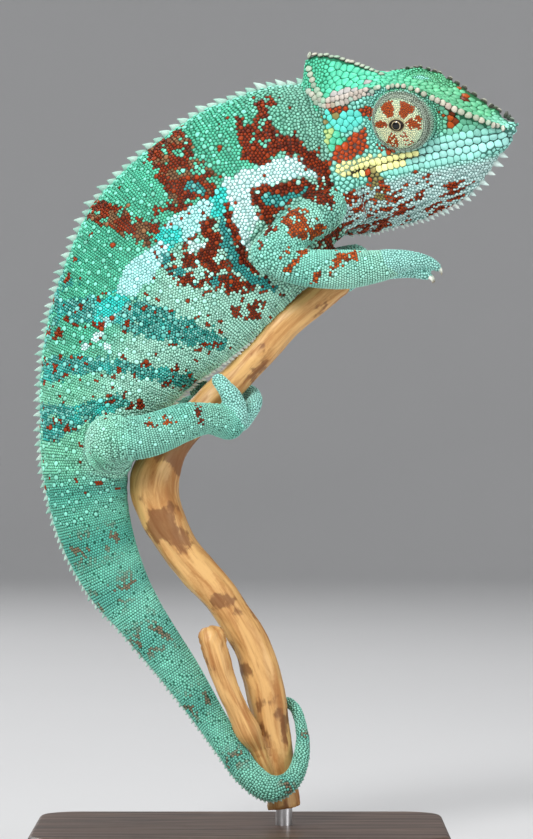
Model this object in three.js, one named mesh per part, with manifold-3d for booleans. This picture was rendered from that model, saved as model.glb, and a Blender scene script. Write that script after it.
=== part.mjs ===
// Adult male panther chameleon climbing a bare branch, as a still life-size model on a display stand.
// Millimetres, +Z up. The animal looks towards +X and shows its right side to -Y.
// The origin is the middle of the stand's underside.
import * as THREE from "three";
import { mergeVertices } from "three/addons/utils/BufferGeometryUtils.js";
import Module from "manifold-3d";

const wasm = await Module();
wasm.setup();

// ---- Driving sizes ------------------------------------------------------------------------------
const GAP = 0.3; // clear space kept between two touching solids
const BODY_SIDES = 14; // facets round the trunk
const TAIL_SIDES = { base: 13, tip: 7 };
const LIMB_SIDES = 8;
const CAP_SHARES = [0.62]; // how far out of a rounded end its rings stand, as shares of the radius
const TOE_SIDES = 5;
const WOOD_SIDES = 10;

const CREST = { pitch: 4.4, height: 3, radius: 1.3, sunk: 0.8, corners: 3, from: 1.5, to: 15.4 };
const EYE = { rim: 9.5, dome: 5.2, sunk: 3, ball: 2.1, ballOut: 0.55, forward: -1, up: -1.3, side: 10.4 };
const MOUTH = { front: -10.3, slope: 0.13, corner: -18.5 }; // height, fall per mm backwards, and corner place
const JAW_DEPTH = 8.5; // bony jaw below the mouth line, above the soft throat
const HEAD_PLACE = new THREE.Vector3(52.4, -9, 224.4);
const HEAD_YAW = THREE.MathUtils.degToRad(-22);
const HEAD_ROLL = THREE.MathUtils.degToRad(19);

const BASE = { width: 124, depth: 84, height: 10, corner: 12, chamfer: 1.2 };
const ROD = { radius: 2.5, foot: 4, top: 24, segments: 16 };

const COLOURS = {
  skin: [0x4fc9b4, 0.55, 0],
  head: [0x6fd6b4, 0.5, 0],
  eye: [0x14100e, 0.12, 0],
  lid: [0xb9c9a0, 0.55, 0],
  wood: [0xc08a4d, 0.75, 0],
  stand: [0x191a1c, 0.35, 0],
  rod: [0x8d9095, 0.3, 1],
};

// ---- Plain helpers ------------------------------------------------------------------------------
const V = (x, y, z) => new THREE.Vector3(x, y, z);

/** A station of a soft tube: its middle, then half sizes to the back, to the belly and to the side. */
const station = (x, y, z, high, low = high, wide = high) => ({ at: V(x, y, z), high, low, wide });

/** A closed three.js geometry as a manifold-3d solid. */
function solidOf(geometry) {
  const plain = geometry.clone();
  plain.deleteAttribute("normal");
  plain.deleteAttribute("uv");
  const merged = mergeVertices(plain, 1e-4);
  return new wasm.Manifold(
    new wasm.Mesh({
      numProp: 3,
      vertProperties: new Float32Array(merged.attributes.position.array),
      triVerts: new Uint32Array(merged.index.array),
    }),
  );
}

/** A manifold-3d solid as a three.js geometry. */
function geometryOf(solid) {
  const made = solid.getMesh();
  const geometry = new THREE.BufferGeometry();
  geometry.setAttribute("position", new THREE.BufferAttribute(new Float32Array(made.vertProperties), 3));
  geometry.setIndex(new THREE.BufferAttribute(new Uint32Array(made.triVerts), 1));
  geometry.computeVertexNormals();
  return geometry;
}

/** The largest body of a cut solid, without the slivers that a cut may leave. */
function largest(solid) {
  return solid.decompose().reduce((best, next) => (next.volume() > best.volume() ? next : best));
}

/** Closes a row of equal rings of points into one solid, facing out whichever way the rings run. */
function skinRings(rings) {
  const sides = rings[0].length;
  const positions = rings.flatMap((ring) => ring.flatMap((p) => p.toArray()));
  const index = [];
  for (let i = 0; i + 1 < rings.length; i++)
    for (let j = 0; j < sides; j++) {
      const [a, b] = [i * sides + j, i * sides + ((j + 1) % sides)];
      index.push(a, b, b + sides, a, b + sides, a + sides);
    }
  [0, rings.length - 1].forEach((end, k) => {
    const middle = rings[end].reduce((sum, p) => sum.add(p), V(0, 0, 0)).divideScalar(sides);
    const hub = positions.push(...middle.toArray()) / 3 - 1;
    for (let j = 0; j < sides; j++) {
      const [a, b] = [end * sides + j, end * sides + ((j + 1) % sides)];
      index.push(...(k ? [a, b, hub] : [b, a, hub]));
    }
  });
  const at = (i) => V(...positions.slice(3 * i, 3 * i + 3));
  let volume = 0;
  for (let i = 0; i < index.length; i += 3)
    volume += at(index[i]).dot(at(index[i + 1]).cross(at(index[i + 2])));
  if (volume < 0) index.reverse();
  const geometry = new THREE.BufferGeometry();
  geometry.setAttribute("position", new THREE.Float32BufferAttribute(positions, 3));
  geometry.setIndex(index);
  return solidOf(geometry);
}

/** A smooth line through stations, with the half sizes at every point and a frame that doesn't twist. */
class SoftLine {
  constructor(stations, firstUp = V(0, 0, 1)) {
    this.last = stations.length - 1;
    this.path = new THREE.CatmullRomCurve3(stations.map((s) => s.at));
    this.sizes = new THREE.CatmullRomCurve3(stations.map((s) => V(s.high, s.low, s.wide)));
    this.frames = [];
    const steps = this.last * 12;
    let up = firstUp;
    for (let i = 0; i <= steps; i++) {
      const ahead = this.path.getTangent(i / steps);
      up = up.clone().addScaledVector(ahead, -up.dot(ahead)).normalize();
      this.frames.push({ ahead, up, side: ahead.clone().cross(up) });
    }
  }

  /** Middle, frame and half sizes at a place counted in stations. */
  at(place) {
    const t = THREE.MathUtils.clamp(place / this.last, 0, 1);
    const size = this.sizes.getPoint(t);
    const frame = this.frames[Math.round(t * (this.frames.length - 1))];
    return { middle: this.path.getPoint(t), high: size.x, low: size.y, wide: size.z, ...frame };
  }

  /** One ring of points. keel over 1 draws the back and the belly in to an edge. */
  ring(place, sides, keel, grow, shrink = 1) {
    const s = this.at(place);
    return Array.from({ length: sides }, (_, j) => {
      const turn = (2 * Math.PI * j) / sides;
      const reach = Math.cos(turn) * ((Math.cos(turn) > 0 ? s.high : s.low) * shrink + grow);
      const across = Math.sign(Math.sin(turn)) * Math.abs(Math.sin(turn)) ** keel * (s.wide * shrink + grow);
      return s.middle.clone().addScaledVector(s.up, reach).addScaledVector(s.side, across);
    });
  }
}

/** The solid of a soft line between two places, with flat or rounded ends. */
function tube(line, from, to, { sides, keel = 1, step = 5, grow = 0, roundStart = false, roundEnd = false }) {
  const length = line.at(from).middle.distanceTo(line.at(to).middle);
  const count = Math.max(2, Math.round(Math.max(length / step, to - from)));
  const rings = [];
  const cap = (place, outward) =>
    CAP_SHARES.map((share) => {
      const { high, ahead } = line.at(place);
      const bulge = (high + grow) * share * outward;
      return line
        .ring(place, sides, keel, grow, Math.sqrt(1 - share * share))
        .map((p) => p.addScaledVector(ahead, bulge));
    });
  if (roundStart) rings.push(...cap(from, -1).reverse());
  for (let i = 0; i <= count; i++)
    rings.push(line.ring(from + ((to - from) * i) / count, sides, keel, grow));
  if (roundEnd) rings.push(...cap(to, 1));
  return skinRings(rings);
}

// ---- Trunk and tail -----------------------------------------------------------------------------
// From inside the back of the head to the tip of the tail.
const SPINE = new SoftLine([
  station(36, -2, 209, 15, 18, 9),
  station(27.6, 0.5, 208, 23.5, 22, 11.5),
  station(17.5, 0.5, 205.5, 28, 27, 13),
  station(8.3, 0, 199.5, 31.4, 30.5, 14),
  station(0, 0, 194, 31.8, 31, 14.5),
  station(-9.8, 0, 185.4, 32.6, 31.5, 15),
  station(-19.2, 0, 176.4, 32.2, 31.5, 15),
  station(-28, 0, 165.2, 28.7, 29, 14.5),
  station(-35, 0, 154.5, 24.7, 25, 13.5),
  station(-40.2, 0, 143.4, 20.7, 21.5, 12.8),
  station(-43.8, 0, 132.2, 17, 17.8, 12),
  station(-46.4, 0, 121.2, 13.8, 14.5, 10.5),
  station(-45.9, 0, 108.9, 12, 12.5, 9.2),
  station(-43.4, 0, 97.5, 11, 11.5, 8.6),
  station(-37.5, 0, 83.4, 9.4, 9.9, 7.6),
  station(-29.4, 0, 71.4, 7.4, 7.7, 6.3),
  station(-17.4, 0, 54.9, 6, 6.2, 5.4),
  station(-8.4, -2, 41.4, 4.8, 4.9, 4.6),
  station(-3.3, -5, 33.9, 4.4, 4.5, 4.3),
  station(3, -9.6, 25.8, 4.3, 4.4, 4.1),
  station(9.6, -10.4, 21.6, 4.3, 4.4, 3.9),
  station(15.6, -8.6, 24.3, 3.5, 3.5, 3.4),
  station(18.6, -3.6, 32.1, 3.1, 3.1, 3),
  station(18.6, 0.6, 38.4, 2.6, 2.6, 2.6),
  station(15.9, 5, 45.6, 2.3, 2.3, 2.3),
  station(10.5, 8.3, 46, 2.1, 2.1, 2.1),
  station(4.3, 6, 41, 1.9, 1.9, 1.9),
  station(4.2, 4.4, 33.5, 1.6, 1.6, 1.6),
  station(5, 1.8, 27.5, 1.1, 1.1, 1.1),
]);
const TRUNK_KEEL = 1.22;
const TAIL_KEEL = 1.05;
const VENT = 11.5;
const NECK_END = 1.7;

const OVERRUN = 0.2; // how far a length is made past its ends before it is cut to them, in stations

/** The body between two places on the spine, as one closed tube. */
const bodyTube = (from, to, { sides = BODY_SIDES, keel = TRUNK_KEEL, grow = 0, tip = false } = {}) =>
  tube(SPINE, from, to, { sides, keel, step: 10, grow, roundEnd: tip });

/** A length of the body with its stretch of crest, cut square to the spine half a gap inside each end. */
function bodyLength(from, to, { crestTo = to, ...form } = {}) {
  const isTip = Boolean(form.tip);
  const first = Math.max(from - OVERRUN, 0);
  let piece = bodyTube(first, isTip ? to : to + OVERRUN, form);
  if (crestTo > from) piece = joinAll([piece, ...backCrest(Math.max(first, CREST.from), Math.min(to + OVERRUN, CREST.to))]);
  const cutAt = (place, way) => {
    const { middle, ahead } = SPINE.at(place);
    const outward = ahead.clone().multiplyScalar(way);
    return halfSpace(middle.clone().addScaledVector(outward, -GAP / 2), outward);
  };
  if (from > 0) piece = piece.subtract(cutAt(from, -1));
  return isTip ? piece : piece.subtract(cutAt(to, 1));
}

const BODY_PIECES = [
  { name: "neck", from: 0, to: NECK_END },
  { name: "trunk_front", from: NECK_END, to: 4.6 },
  { name: "trunk_middle", from: 4.6, to: 7.8 },
  { name: "trunk_rear", from: 7.8, to: VENT },
];
const TAIL_ENDS = [VENT, 13.5, 15.4, 17.2, 19.4, 21.4, 23.6, 25.8, SPINE.last];

// ---- Head ---------------------------------------------------------------------------------------
// Rails along the head, in its own frame: forward, then heights and half widths. The casque is at the back.
const HEAD_RAILS = [
  { forward: -36, top: 6.5, ridge: [3, 3], wall: [5.5, -6], cheek: [6, -15], jaw: [6, -20], throat: [4.5, -28], under: -34 },
  { forward: -32.5, top: 17.8, ridge: [5, 7.6], wall: [8, -2.5], cheek: [9.6, -13.4], jaw: [9.4, -19.5], throat: [7.4, -30], under: -38.5 },
  { forward: -27, top: 17.8, ridge: [9, 5.4], wall: [9.8, -1.5], cheek: [11.2, -13.6], jaw: [11, -20.6], throat: [8.6, -31.5], under: -40 },
  { forward: -18, top: 15.2, ridge: [10.8, 7], wall: [10.2, 0.8], cheek: [11.8, -12.8], jaw: [11.6, -21], throat: [8.8, -31], under: -39.2 },
  { forward: -10, top: 11.4, ridge: [11.2, 9.2], wall: [9.4, 2], cheek: [11.2, -12], jaw: [11.2, -20], throat: [8.2, -30], under: -37.5 },
  { forward: -3, top: 7.6, ridge: [11.4, 10.4], wall: [9.2, 2], cheek: [10.4, -11.2], jaw: [10.4, -18.2], throat: [7.4, -28], under: -35.6 },
  { forward: 4, top: 5.9, ridge: [11.2, 9], wall: [9, 1.4], cheek: [9.4, -10.2], jaw: [9.4, -17], throat: [6.6, -26], under: -33 },
  { forward: 12, top: 3, ridge: [10.2, 4.3], wall: [8, -1.2], cheek: [7.8, -9.2], jaw: [7.7, -15.6], throat: [5.4, -23], under: -29.6 },
  { forward: 19, top: -1.2, ridge: [8.6, 0], wall: [6.6, -3.8], cheek: [6, -8.8], jaw: [5.9, -13.8], throat: [4, -18.8], under: -23.6 },
  { forward: 24.5, top: -4, ridge: [6.8, -3.4], wall: [4.9, -5.6], cheek: [4.2, -8.8], jaw: [4.1, -11.8], throat: [2.6, -14.4], under: -16.4 },
  { forward: 27.8, top: -5.6, ridge: [5.2, -5.2], wall: [3.4, -6.8], cheek: [2.7, -8.6], jaw: [2.6, -10.6], throat: [1.5, -11.8], under: -13 },
  { forward: 30.4, top: -6.4, ridge: [3, -6.6], wall: [1.8, -7], cheek: [1.2, -7.6], jaw: [1, -8], throat: [0.6, -8.4], under: -8.6 },
];
const HEAD_RINGS = 15;

/** The head's rails at a place along it, as one closed ring from the crown round the left and the right side. */
function headRing(curves, t, grow) {
  const half = curves.map((curve) => curve.getPoint(t));
  const outer = half.map((p, i) => {
    const before = half[Math.max(i - 1, 0)];
    const after = half[Math.min(i + 1, half.length - 1)];
    const outward = i === 0 ? V(0, 0, 1) : i === half.length - 1 ? V(0, 0, -1) : V(0, before.z - after.z, after.y - before.y);
    return p.clone().addScaledVector(outward.normalize(), grow);
  });
  const mirrored = outer.slice(1, -1).reverse().map((p) => V(p.x, -p.y, p.z));
  return [...outer, ...mirrored];
}

/** The whole head with casque, jaws and throat, in the head's own frame. */
function wholeHead(grow = 0) {
  const point = (rail, key) =>
    Array.isArray(rail[key]) ? V(rail.forward, rail[key][0], rail[key][1]) : V(rail.forward, 0, rail[key]);
  const keys = ["top", "slope", "ridge", "wall", "cheek", "jaw", "bag", "throat", "under"];
  const between = { slope: ["top", "ridge", 0.5], bag: ["jaw", "throat", 0.5] };
  const curves = keys.map((key) => {
    const points = HEAD_RAILS.map((rail) => {
      if (!between[key]) return point(rail, key);
      const [a, b, share] = between[key];
      return point(rail, a).lerp(point(rail, b), share);
    });
    return new THREE.CatmullRomCurve3(points);
  });
  const rings = Array.from({ length: HEAD_RINGS }, (_, i) => headRing(curves, i / (HEAD_RINGS - 1), grow));
  return skinRings(rings);
}

/** A large block whose face passes through a point, reaching away along a direction. */
function halfSpace(point, outward, reach = 200) {
  const block = new THREE.BoxGeometry(reach, reach, reach);
  block.translate(0, 0, reach / 2);
  const turn = new THREE.Quaternion().setFromUnitVectors(V(0, 0, 1), outward.clone().normalize());
  block.applyQuaternion(turn).translate(point.x, point.y, point.z);
  return solidOf(block);
}

/** The turret round one eye: a low cone of skin with a rolled rim, closed behind. side is -1 on the right. */
function eyeTurret(side, grow = 0) {
  const steps = 3;
  const profile = [new THREE.Vector2(0, -EYE.sunk - grow), new THREE.Vector2(EYE.rim - 0.8 + grow, -EYE.sunk - grow)];
  profile.push(new THREE.Vector2(EYE.rim + grow, -0.6));
  for (let i = 1; i <= steps; i++) {
    const turn = (Math.PI / 2) * (i / steps);
    profile.push(new THREE.Vector2((EYE.rim - 0.5 + grow) * Math.cos(turn) ** 0.9, (EYE.dome + grow) * Math.sin(turn)));
  }
  profile[profile.length - 1].x = 0;
  const dome = new THREE.LatheGeometry(profile, 14);
  if (side < 0) dome.rotateX(Math.PI);
  return solidOf(dome).translate([EYE.forward, side * EYE.side, EYE.up]);
}

/** The part of the eyeball that looks out of the turret. */
function eyeball(side, grow = 0) {
  const ball = new THREE.SphereGeometry(EYE.ball + grow, 8, 5);
  ball.translate(EYE.forward, side * (EYE.side + EYE.dome + EYE.ballOut - EYE.ball), EYE.up);
  return solidOf(ball);
}

// ---- Limbs --------------------------------------------------------------------------------------
/** Tapered limb through points of [x, y, z, radius], with both ends rounded. */
const limbLine = (points) => new SoftLine(points.map(([x, y, z, r]) => station(x, y, z, r)), V(0, 0.3, 1));
const limbSolid = (points, { sides = LIMB_SIDES, grow = 0, roundStart = true } = {}) => {
  const line = limbLine(points);
  return tube(line, 0, line.last, { sides, step: 7, grow, roundStart, roundEnd: true });
};

/** A bundle of toes: tubes side by side along one route, joined, each with a claw at its tip. */
function toeBundle({ route, spread, toes, claw }, grow = 0) {
  const toe = (_, i) => {
    const offset = i - (toes - 1) / 2;
    const points = route.map(([x, y, z, r], k) => {
      const open = 0.55 + (0.45 * k) / (route.length - 1);
      const p = V(x, y, z).addScaledVector(V(...spread), offset * open);
      return [...p.toArray(), r];
    });
    const [tip, before] = [V(...points.at(-1)), V(...points.at(-2))];
    const ahead = tip.clone().sub(before).normalize();
    const down = V(...claw).normalize();
    const root = tip.clone().addScaledVector(ahead, points.at(-1)[3] * 0.2);
    const nail = [0, 1, 2].map((k) => {
      const p = root.clone().addScaledVector(ahead, 1.1 * k).addScaledVector(down, 0.45 * k * k);
      return [...p.toArray(), 1 - 0.34 * k];
    });
    const soft = limbSolid(points, { sides: TOE_SIDES, grow, roundStart: false });
    return grow ? soft : soft.add(tube(limbLine(nail), 0, 2, { sides: 3, step: 2, grow }));
  };
  return joinAll(Array.from({ length: toes }, toe));
}

const RIGHT_ARM = {
  upper_arm: [[24, -8, 194.5, 7.6], [15.8, -14.5, 187.4, 6.6], [8.6, -18.5, 180.6, 5.7]],
  forearm: [[9, -18.5, 179.4, 5.6], [16, -18.5, 176.9, 5.7], [30, -17.5, 175.9, 6.1], [39.5, -16.6, 176.7, 5.2], [43.5, -16, 177.4, 4.7]],
};
const LEFT_ARM = {
  upper_arm: [[24, 8, 194.5, 7.6], [14.5, 14.5, 188.5, 6.6], [7, 18.5, 182.6, 5.7]],
  forearm: [[7, 18.5, 181.6, 5.4], [17, 16.5, 179.5, 5], [27, 11, 179, 4.8], [34.4, 5.6, 179.4, 5.3]],
};
const RIGHT_LEG = {
  thigh: [[-39, -5, 121, 7.6], [-38.6, -10.5, 123.4, 7.8], [-38.6, -15, 126.2, 7.2]],
  shank: [[-38.6, -16, 125.4, 6.9], [-27, -16.5, 126.8, 6.7], [-15.5, -14.5, 131, 5.9], [-9, -11.5, 131.8, 4.9], [-3.4, -7, 130.4, 5.2]],
};
const LEFT_LEG = {
  thigh: [[-39, 5, 121, 7.6], [-39.5, 10.5, 122.5, 7.8], [-40.4, 15.5, 124.4, 7.2]],
  shank: [[-40, 16.5, 123.6, 6.9], [-28, 17.5, 127.5, 6.4], [-16.5, 15, 133, 5.4], [-9.5, 10.8, 136.2, 5]],
};
// Toe counts: the hand has three inner and two outer toes, the foot two inner and three outer.
const TOES = {
  hand_right_outer: { route: [[43.4, -16.6, 178, 3.6], [48.6, -16.9, 178, 3.2], [53, -16.2, 177.6, 2.6], [56.6, -15.2, 176.4, 1.8]], spread: [0.3, -1.2, 2], toes: 2, claw: [0.2, 0, -1] },
  hand_right_inner: { route: [[43, -12.8, 176.4, 3.2], [48, -11.8, 176.8, 2.6], [51.6, -11.4, 176.6, 2.1], [54.4, -11.4, 175.6, 1.6]], spread: [0.3, 1.6, 1.3], toes: 3, claw: [-0.4, 0, -1] },
  hand_left_outer: { route: [[35, 8, 177.8, 3], [34.6, 10.6, 175, 2.4], [32, 10.4, 172.4, 2], [29.6, 9.4, 170.8, 1.6]], spread: [2.2, 0, -0.9], toes: 2, claw: [0, -1, -0.3] },
  hand_left_inner: { route: [[34, 1.5, 178.6, 3], [33.6, -3.4, 177.4, 2.3], [31.8, -6.8, 175.6, 2], [30, -7.6, 174, 1.6]], spread: [1.9, -0.3, -0.9], toes: 3, claw: [-0.3, 0.6, -0.6] },
  foot_right_inner: { route: [[-1.4, -7.4, 132.6, 3.2], [-1.6, -8.6, 136.2, 2.8], [-3.2, -8.6, 139.8, 2.4], [-4.8, -7.4, 142, 1.9]], spread: [3, 0, -2.8], toes: 2, claw: [-0.4, 0.9, 0.2] },
  foot_right_outer: { route: [[1, -3.4, 131.4, 2.8], [3.4, 1.2, 135, 2.5], [3, 5.6, 137.8, 2.2], [0.2, 8, 139.8, 1.7]], spread: [1.3, 0, 1.7], toes: 3, claw: [-0.7, 0, 0.6] },
  foot_left_inner: { route: [[-11, 9.2, 137.6, 3], [-12.4, 7.2, 140.2, 2.4], [-12.6, 4.8, 142, 1.9]], spread: [2, 0, 1.9], toes: 2, claw: [0.3, -0.9, 0.2] },
  foot_left_outer: { route: [[-6.6, 9.6, 134.6, 2.8], [-3.8, 6.6, 133.4, 2.3], [-2.6, 3.8, 132.8, 1.8]], spread: [1.7, 0, 1.5], toes: 3, claw: [0, -1, 0.3] },
};

// ---- Perch --------------------------------------------------------------------------------------
// Bare, weathered branch: [x, y, z, radius] from its broken tip down to the sawn foot.
const BRANCH = [
  [29.6, 0.5, 172.2, 3.9], [26.6, 0.5, 171, 4.7], [21, 0.8, 166.6, 5], [14, 1.5, 160.6, 5], [5.4, 2, 151, 5], [-1.6, 1.4, 143.6, 5],
  [-9, 0.4, 136.6, 5.2], [-21.4, 0, 123, 6], [-25.6, 0.4, 113.4, 7.9], [-24.6, 1, 105.4, 7.5],
  [-17.6, 0.8, 92.4, 5.9], [-5.7, 0, 78, 5.7], [2.4, 0, 65.4, 5.8], [6.6, 0, 54.9, 6.1],
  [9.9, 0, 38, 5.6], [12.3, 0, 21.9, 5.1], [13.2, 0, 15, 5.2],
];
const STUB = [
  [-8.4, -10.4, 66.4, 4.3], [-5, -10.8, 55.4, 3.8], [-0.4, -10.2, 44.7, 3.3],
  [2.4, -9.4, 39, 3.9], [5.2, -6.8, 33.2, 2.7], [7.6, -4.6, 27.2, 2.2], [10.2, -1.6, 21.5, 2],
];

/** Branch and side stub as one piece of wood, with uneven girth, and a hole for the rod in its foot. */
function perchWood(grow = 0) {
  const branch = limbLine(BRANCH);
  const wood = tube(branch, 0, branch.last, { sides: WOOD_SIDES, step: 11, grow, roundStart: true });
  const stub = limbLine(STUB);
  return wood.add(tube(stub, 0, stub.last, { sides: 8, step: 9, grow, roundStart: true, roundEnd: true }));
}

// ---- Stand --------------------------------------------------------------------------------------
/** The rod between base and branch, thicker by grow for the holes that take it. */
function rodSolid(grow = 0) {
  const rod = new THREE.CylinderGeometry(ROD.radius + grow, ROD.radius + grow, ROD.top - ROD.foot + 2 * grow, ROD.segments);
  rod.rotateX(Math.PI / 2).translate(BRANCH.at(-1)[0], 0, (ROD.top + ROD.foot) / 2);
  return solidOf(rod);
}

/** Flat base with round corners and a chamfered upper edge. */
function baseSolid() {
  const { width, depth, height, corner, chamfer } = BASE;
  const [x, y] = [width / 2 - chamfer, depth / 2 - chamfer];
  const outline = new THREE.Shape();
  outline.moveTo(-x + corner, -y).lineTo(x - corner, -y);
  outline.absarc(x - corner, -y + corner, corner, -Math.PI / 2, 0);
  outline.absarc(x - corner, y - corner, corner, 0, Math.PI / 2);
  outline.absarc(-x + corner, y - corner, corner, Math.PI / 2, Math.PI);
  outline.absarc(-x + corner, -y + corner, corner, Math.PI, 1.5 * Math.PI);
  const plate = new THREE.ExtrudeGeometry(outline, {
    depth: height - 2 * chamfer, bevelSize: chamfer, bevelThickness: chamfer, bevelSegments: 1, curveSegments: 2,
  });
  plate.translate(0, 0, chamfer);
  return solidOf(plate);
}

// ---- Crests -------------------------------------------------------------------------------------
/** Conical scale standing on a surface point, leaning the given way. */
function spike(point, outward, height, radius) {
  const cone = new THREE.ConeGeometry(radius, height, CREST.corners);
  cone.translate(0, height / 2 - CREST.sunk, 0);
  cone.applyQuaternion(new THREE.Quaternion().setFromUnitVectors(V(0, 1, 0), outward.clone().normalize()));
  return solidOf(cone.translate(point.x, point.y, point.z));
}

/** The row of conical scales along the back between two places on the spine. */
function backCrest(from, to) {
  const spikes = [];
  let place = from;
  while (place < to) {
    const s = SPINE.at(place);
    const fade = THREE.MathUtils.clamp((16.5 - place) / 9, 0.4, 1);
    const along = SPINE.at(place + 0.1).middle.addScaledVector(SPINE.at(place + 0.1).up, s.high);
    const foot = s.middle.clone().addScaledVector(s.up, s.high);
    const step = (0.1 * CREST.pitch * fade ** 0.5) / along.distanceTo(foot);
    const lean = s.up.clone().addScaledVector(s.ahead, 0.25);
    if (place > from + 0.03 && place + step < to)
      spikes.push(spike(foot, lean, CREST.height * fade, CREST.radius * fade));
    place += step;
  }
  return spikes;
}

/** The beard of conical scales under chin and throat, largest at the chin, in the head's frame. */
function throatCrest() {
  const under = new THREE.CatmullRomCurve3(HEAD_RAILS.map((rail) => V(rail.forward, 0, rail.under)));
  const count = 14;
  return Array.from({ length: count }, (_, i) => {
    const share = i / (count - 1);
    const t = THREE.MathUtils.lerp(0.865, 0.22, share);
    const size = THREE.MathUtils.lerp(4.2, 1.9, Math.sqrt(share));
    const ahead = under.getTangent(t);
    return spike(under.getPoint(t), V(ahead.z, 0, -ahead.x).addScaledVector(ahead, 0.35), size, size * 0.3);
  });
}

// ---- Assembly -----------------------------------------------------------------------------------
const model = new THREE.Group();
const [animal, perch, stand, headGroup] = [new THREE.Group(), new THREE.Group(), new THREE.Group(), new THREE.Group()];
model.add(animal, perch, stand);
animal.add(headGroup);
headGroup.position.copy(HEAD_PLACE);
headGroup.rotation.set(HEAD_ROLL, 0, HEAD_YAW, "ZYX");
headGroup.updateMatrixWorld(true);

/** Adds a solid to a group as a named mesh of one finish. */
function addNode(group, name, solid, finish) {
  const [color, roughness, metalness] = COLOURS[finish];
  const mesh = new THREE.Mesh(geometryOf(solid), new THREE.MeshStandardMaterial({ color, roughness, metalness }));
  mesh.name = name;
  group.add(mesh);
}

/** A solid made in the head's frame, moved to the part's frame. */
const placedHead = (solid) => solid.transform(headGroup.matrixWorld.elements);
/** A solid made in the part's frame, moved to the head's frame. */
const inHead = (solid) => solid.transform(headGroup.matrixWorld.clone().invert().elements);
const joinAll = (solids) => solids.reduce((all, next) => all.add(next));

const rod = rodSolid();
const rodHole = rodSolid(GAP);
const wood = perchWood().subtract(rodHole);
const woodCutter = perchWood(GAP);
const headCutter = placedHead(wholeHead(GAP));
const trunkCutter = joinAll([
  ...BODY_PIECES.map(({ from, to }) => bodyTube(Math.max(from - OVERRUN, 0), to + OVERRUN, { grow: GAP })),
  bodyTube(VENT - OVERRUN, TAIL_ENDS[1] + OVERRUN, { keel: TAIL_KEEL, grow: GAP }),
]);

// Trunk lengths, each with its stretch of the back crest.
for (const { name, from, to } of BODY_PIECES) {
  const piece = bodyLength(from, to);
  addNode(animal, name, largest(piece.subtract(woodCutter).subtract(headCutter)), "skin");
}

// Tail lengths, with fewer facets as they thin.
TAIL_ENDS.slice(0, -1).forEach((from, i) => {
  const to = TAIL_ENDS[i + 1];
  const sides = Math.round(THREE.MathUtils.lerp(TAIL_SIDES.base, TAIL_SIDES.tip, i / (TAIL_ENDS.length - 2)));
  const piece = bodyLength(from, to, { sides, keel: TAIL_KEEL, tip: i === TAIL_ENDS.length - 2, crestTo: CREST.to });
  addNode(animal, `tail_${i + 1}`, largest(piece.subtract(woodCutter)), "skin");
});

// Head: skull with casque, bony lower jaw and soft throat, parted along the mouth and under the jaw.
const mouthLine = V(-1, 0, -MOUTH.slope).normalize();
const mouthUp = V(mouthLine.z, 0, -mouthLine.x).multiplyScalar(1);
const mouthPoint = V(27.6, 0, MOUTH.front);
const jawPoint = mouthPoint.clone().addScaledVector(mouthUp, -JAW_DEPTH);
const cornerPoint = V(MOUTH.corner, 0, 0);
const turrets = [-1, 1].map((side) => eyeTurret(side, GAP));
const head = turrets.reduce((whole, turret) => whole.subtract(turret), wholeHead());
const behindCorner = halfSpace(cornerPoint, V(-1, 0, 0));
const half = (point, towards, shift) => halfSpace(point.clone().addScaledVector(towards, shift), towards);
const down = mouthUp.clone().negate();
const upper = head.subtract(half(mouthPoint, down, -GAP / 2).subtract(behindCorner)).subtract(half(jawPoint, down, -GAP / 2));
const jaw = head
  .intersect(half(mouthPoint, down, GAP / 2))
  .intersect(half(jawPoint, mouthUp, GAP / 2))
  .intersect(halfSpace(V(MOUTH.corner + GAP, 0, 0), V(1, 0, 0)));
const throat = joinAll([head.intersect(half(jawPoint, down, GAP / 2)), ...throatCrest()])
  .subtract(half(jawPoint, mouthUp, -GAP / 2));
addNode(headGroup, "head", largest(upper), "head");
addNode(headGroup, "lower_jaw", largest(jaw), "head");
addNode(headGroup, "throat", largest(throat), "skin");
[["right", -1], ["left", 1]].forEach(([label, side]) => {
  addNode(headGroup, `eye_turret_${label}`, eyeTurret(side).subtract(eyeball(side, GAP)), "lid");
  addNode(headGroup, `eye_${label}`, eyeball(side), "eye");
});

// Limbs: each solid is cut clear of the wood, the trunk, the head and every limb solid made before it.
const taken = [woodCutter, trunkCutter, headCutter];
function addLimbSolid(name, make) {
  const clear = taken.reduce((solid, cutter) => solid.subtract(cutter), make(0));
  taken.push(make(GAP));
  addNode(animal, name, largest(clear), "skin");
}
[["right", RIGHT_ARM, RIGHT_LEG], ["left", LEFT_ARM, LEFT_LEG]].forEach(([label, arm, leg]) => {
  for (const [limb, end] of [[arm, "hand"], [leg, "foot"]]) {
    for (const [name, points] of Object.entries(limb))
      addLimbSolid(`${name}_${label}`, (grow) => limbSolid(points, { grow }));
    for (const name of [`${end}_${label}_inner`, `${end}_${label}_outer`])
      addLimbSolid(name, (grow) => toeBundle(TOES[name], grow));
  }
});

addNode(perch, "perch_branch", largest(wood), "wood");
addNode(stand, "stand_base", largest(baseSolid().subtract(rodHole)), "stand");
addNode(stand, "stand_rod", rod, "rod");

export default model;
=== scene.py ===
"""Adult male panther chameleon climbing a bare branch: skin, scales, eyes, perch and stand.

The shapes are worked out in millimetres in the part's frame (+X the way the animal looks, +Z up,
its right side to -Y) and become metres only when a mesh is made.
"""
import logging
import math
from dataclasses import dataclass, field
from enum import Enum, IntEnum

import bpy
import numpy as np
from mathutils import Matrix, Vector
from mathutils.bvhtree import BVHTree
from mathutils.kdtree import KDTree


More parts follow.
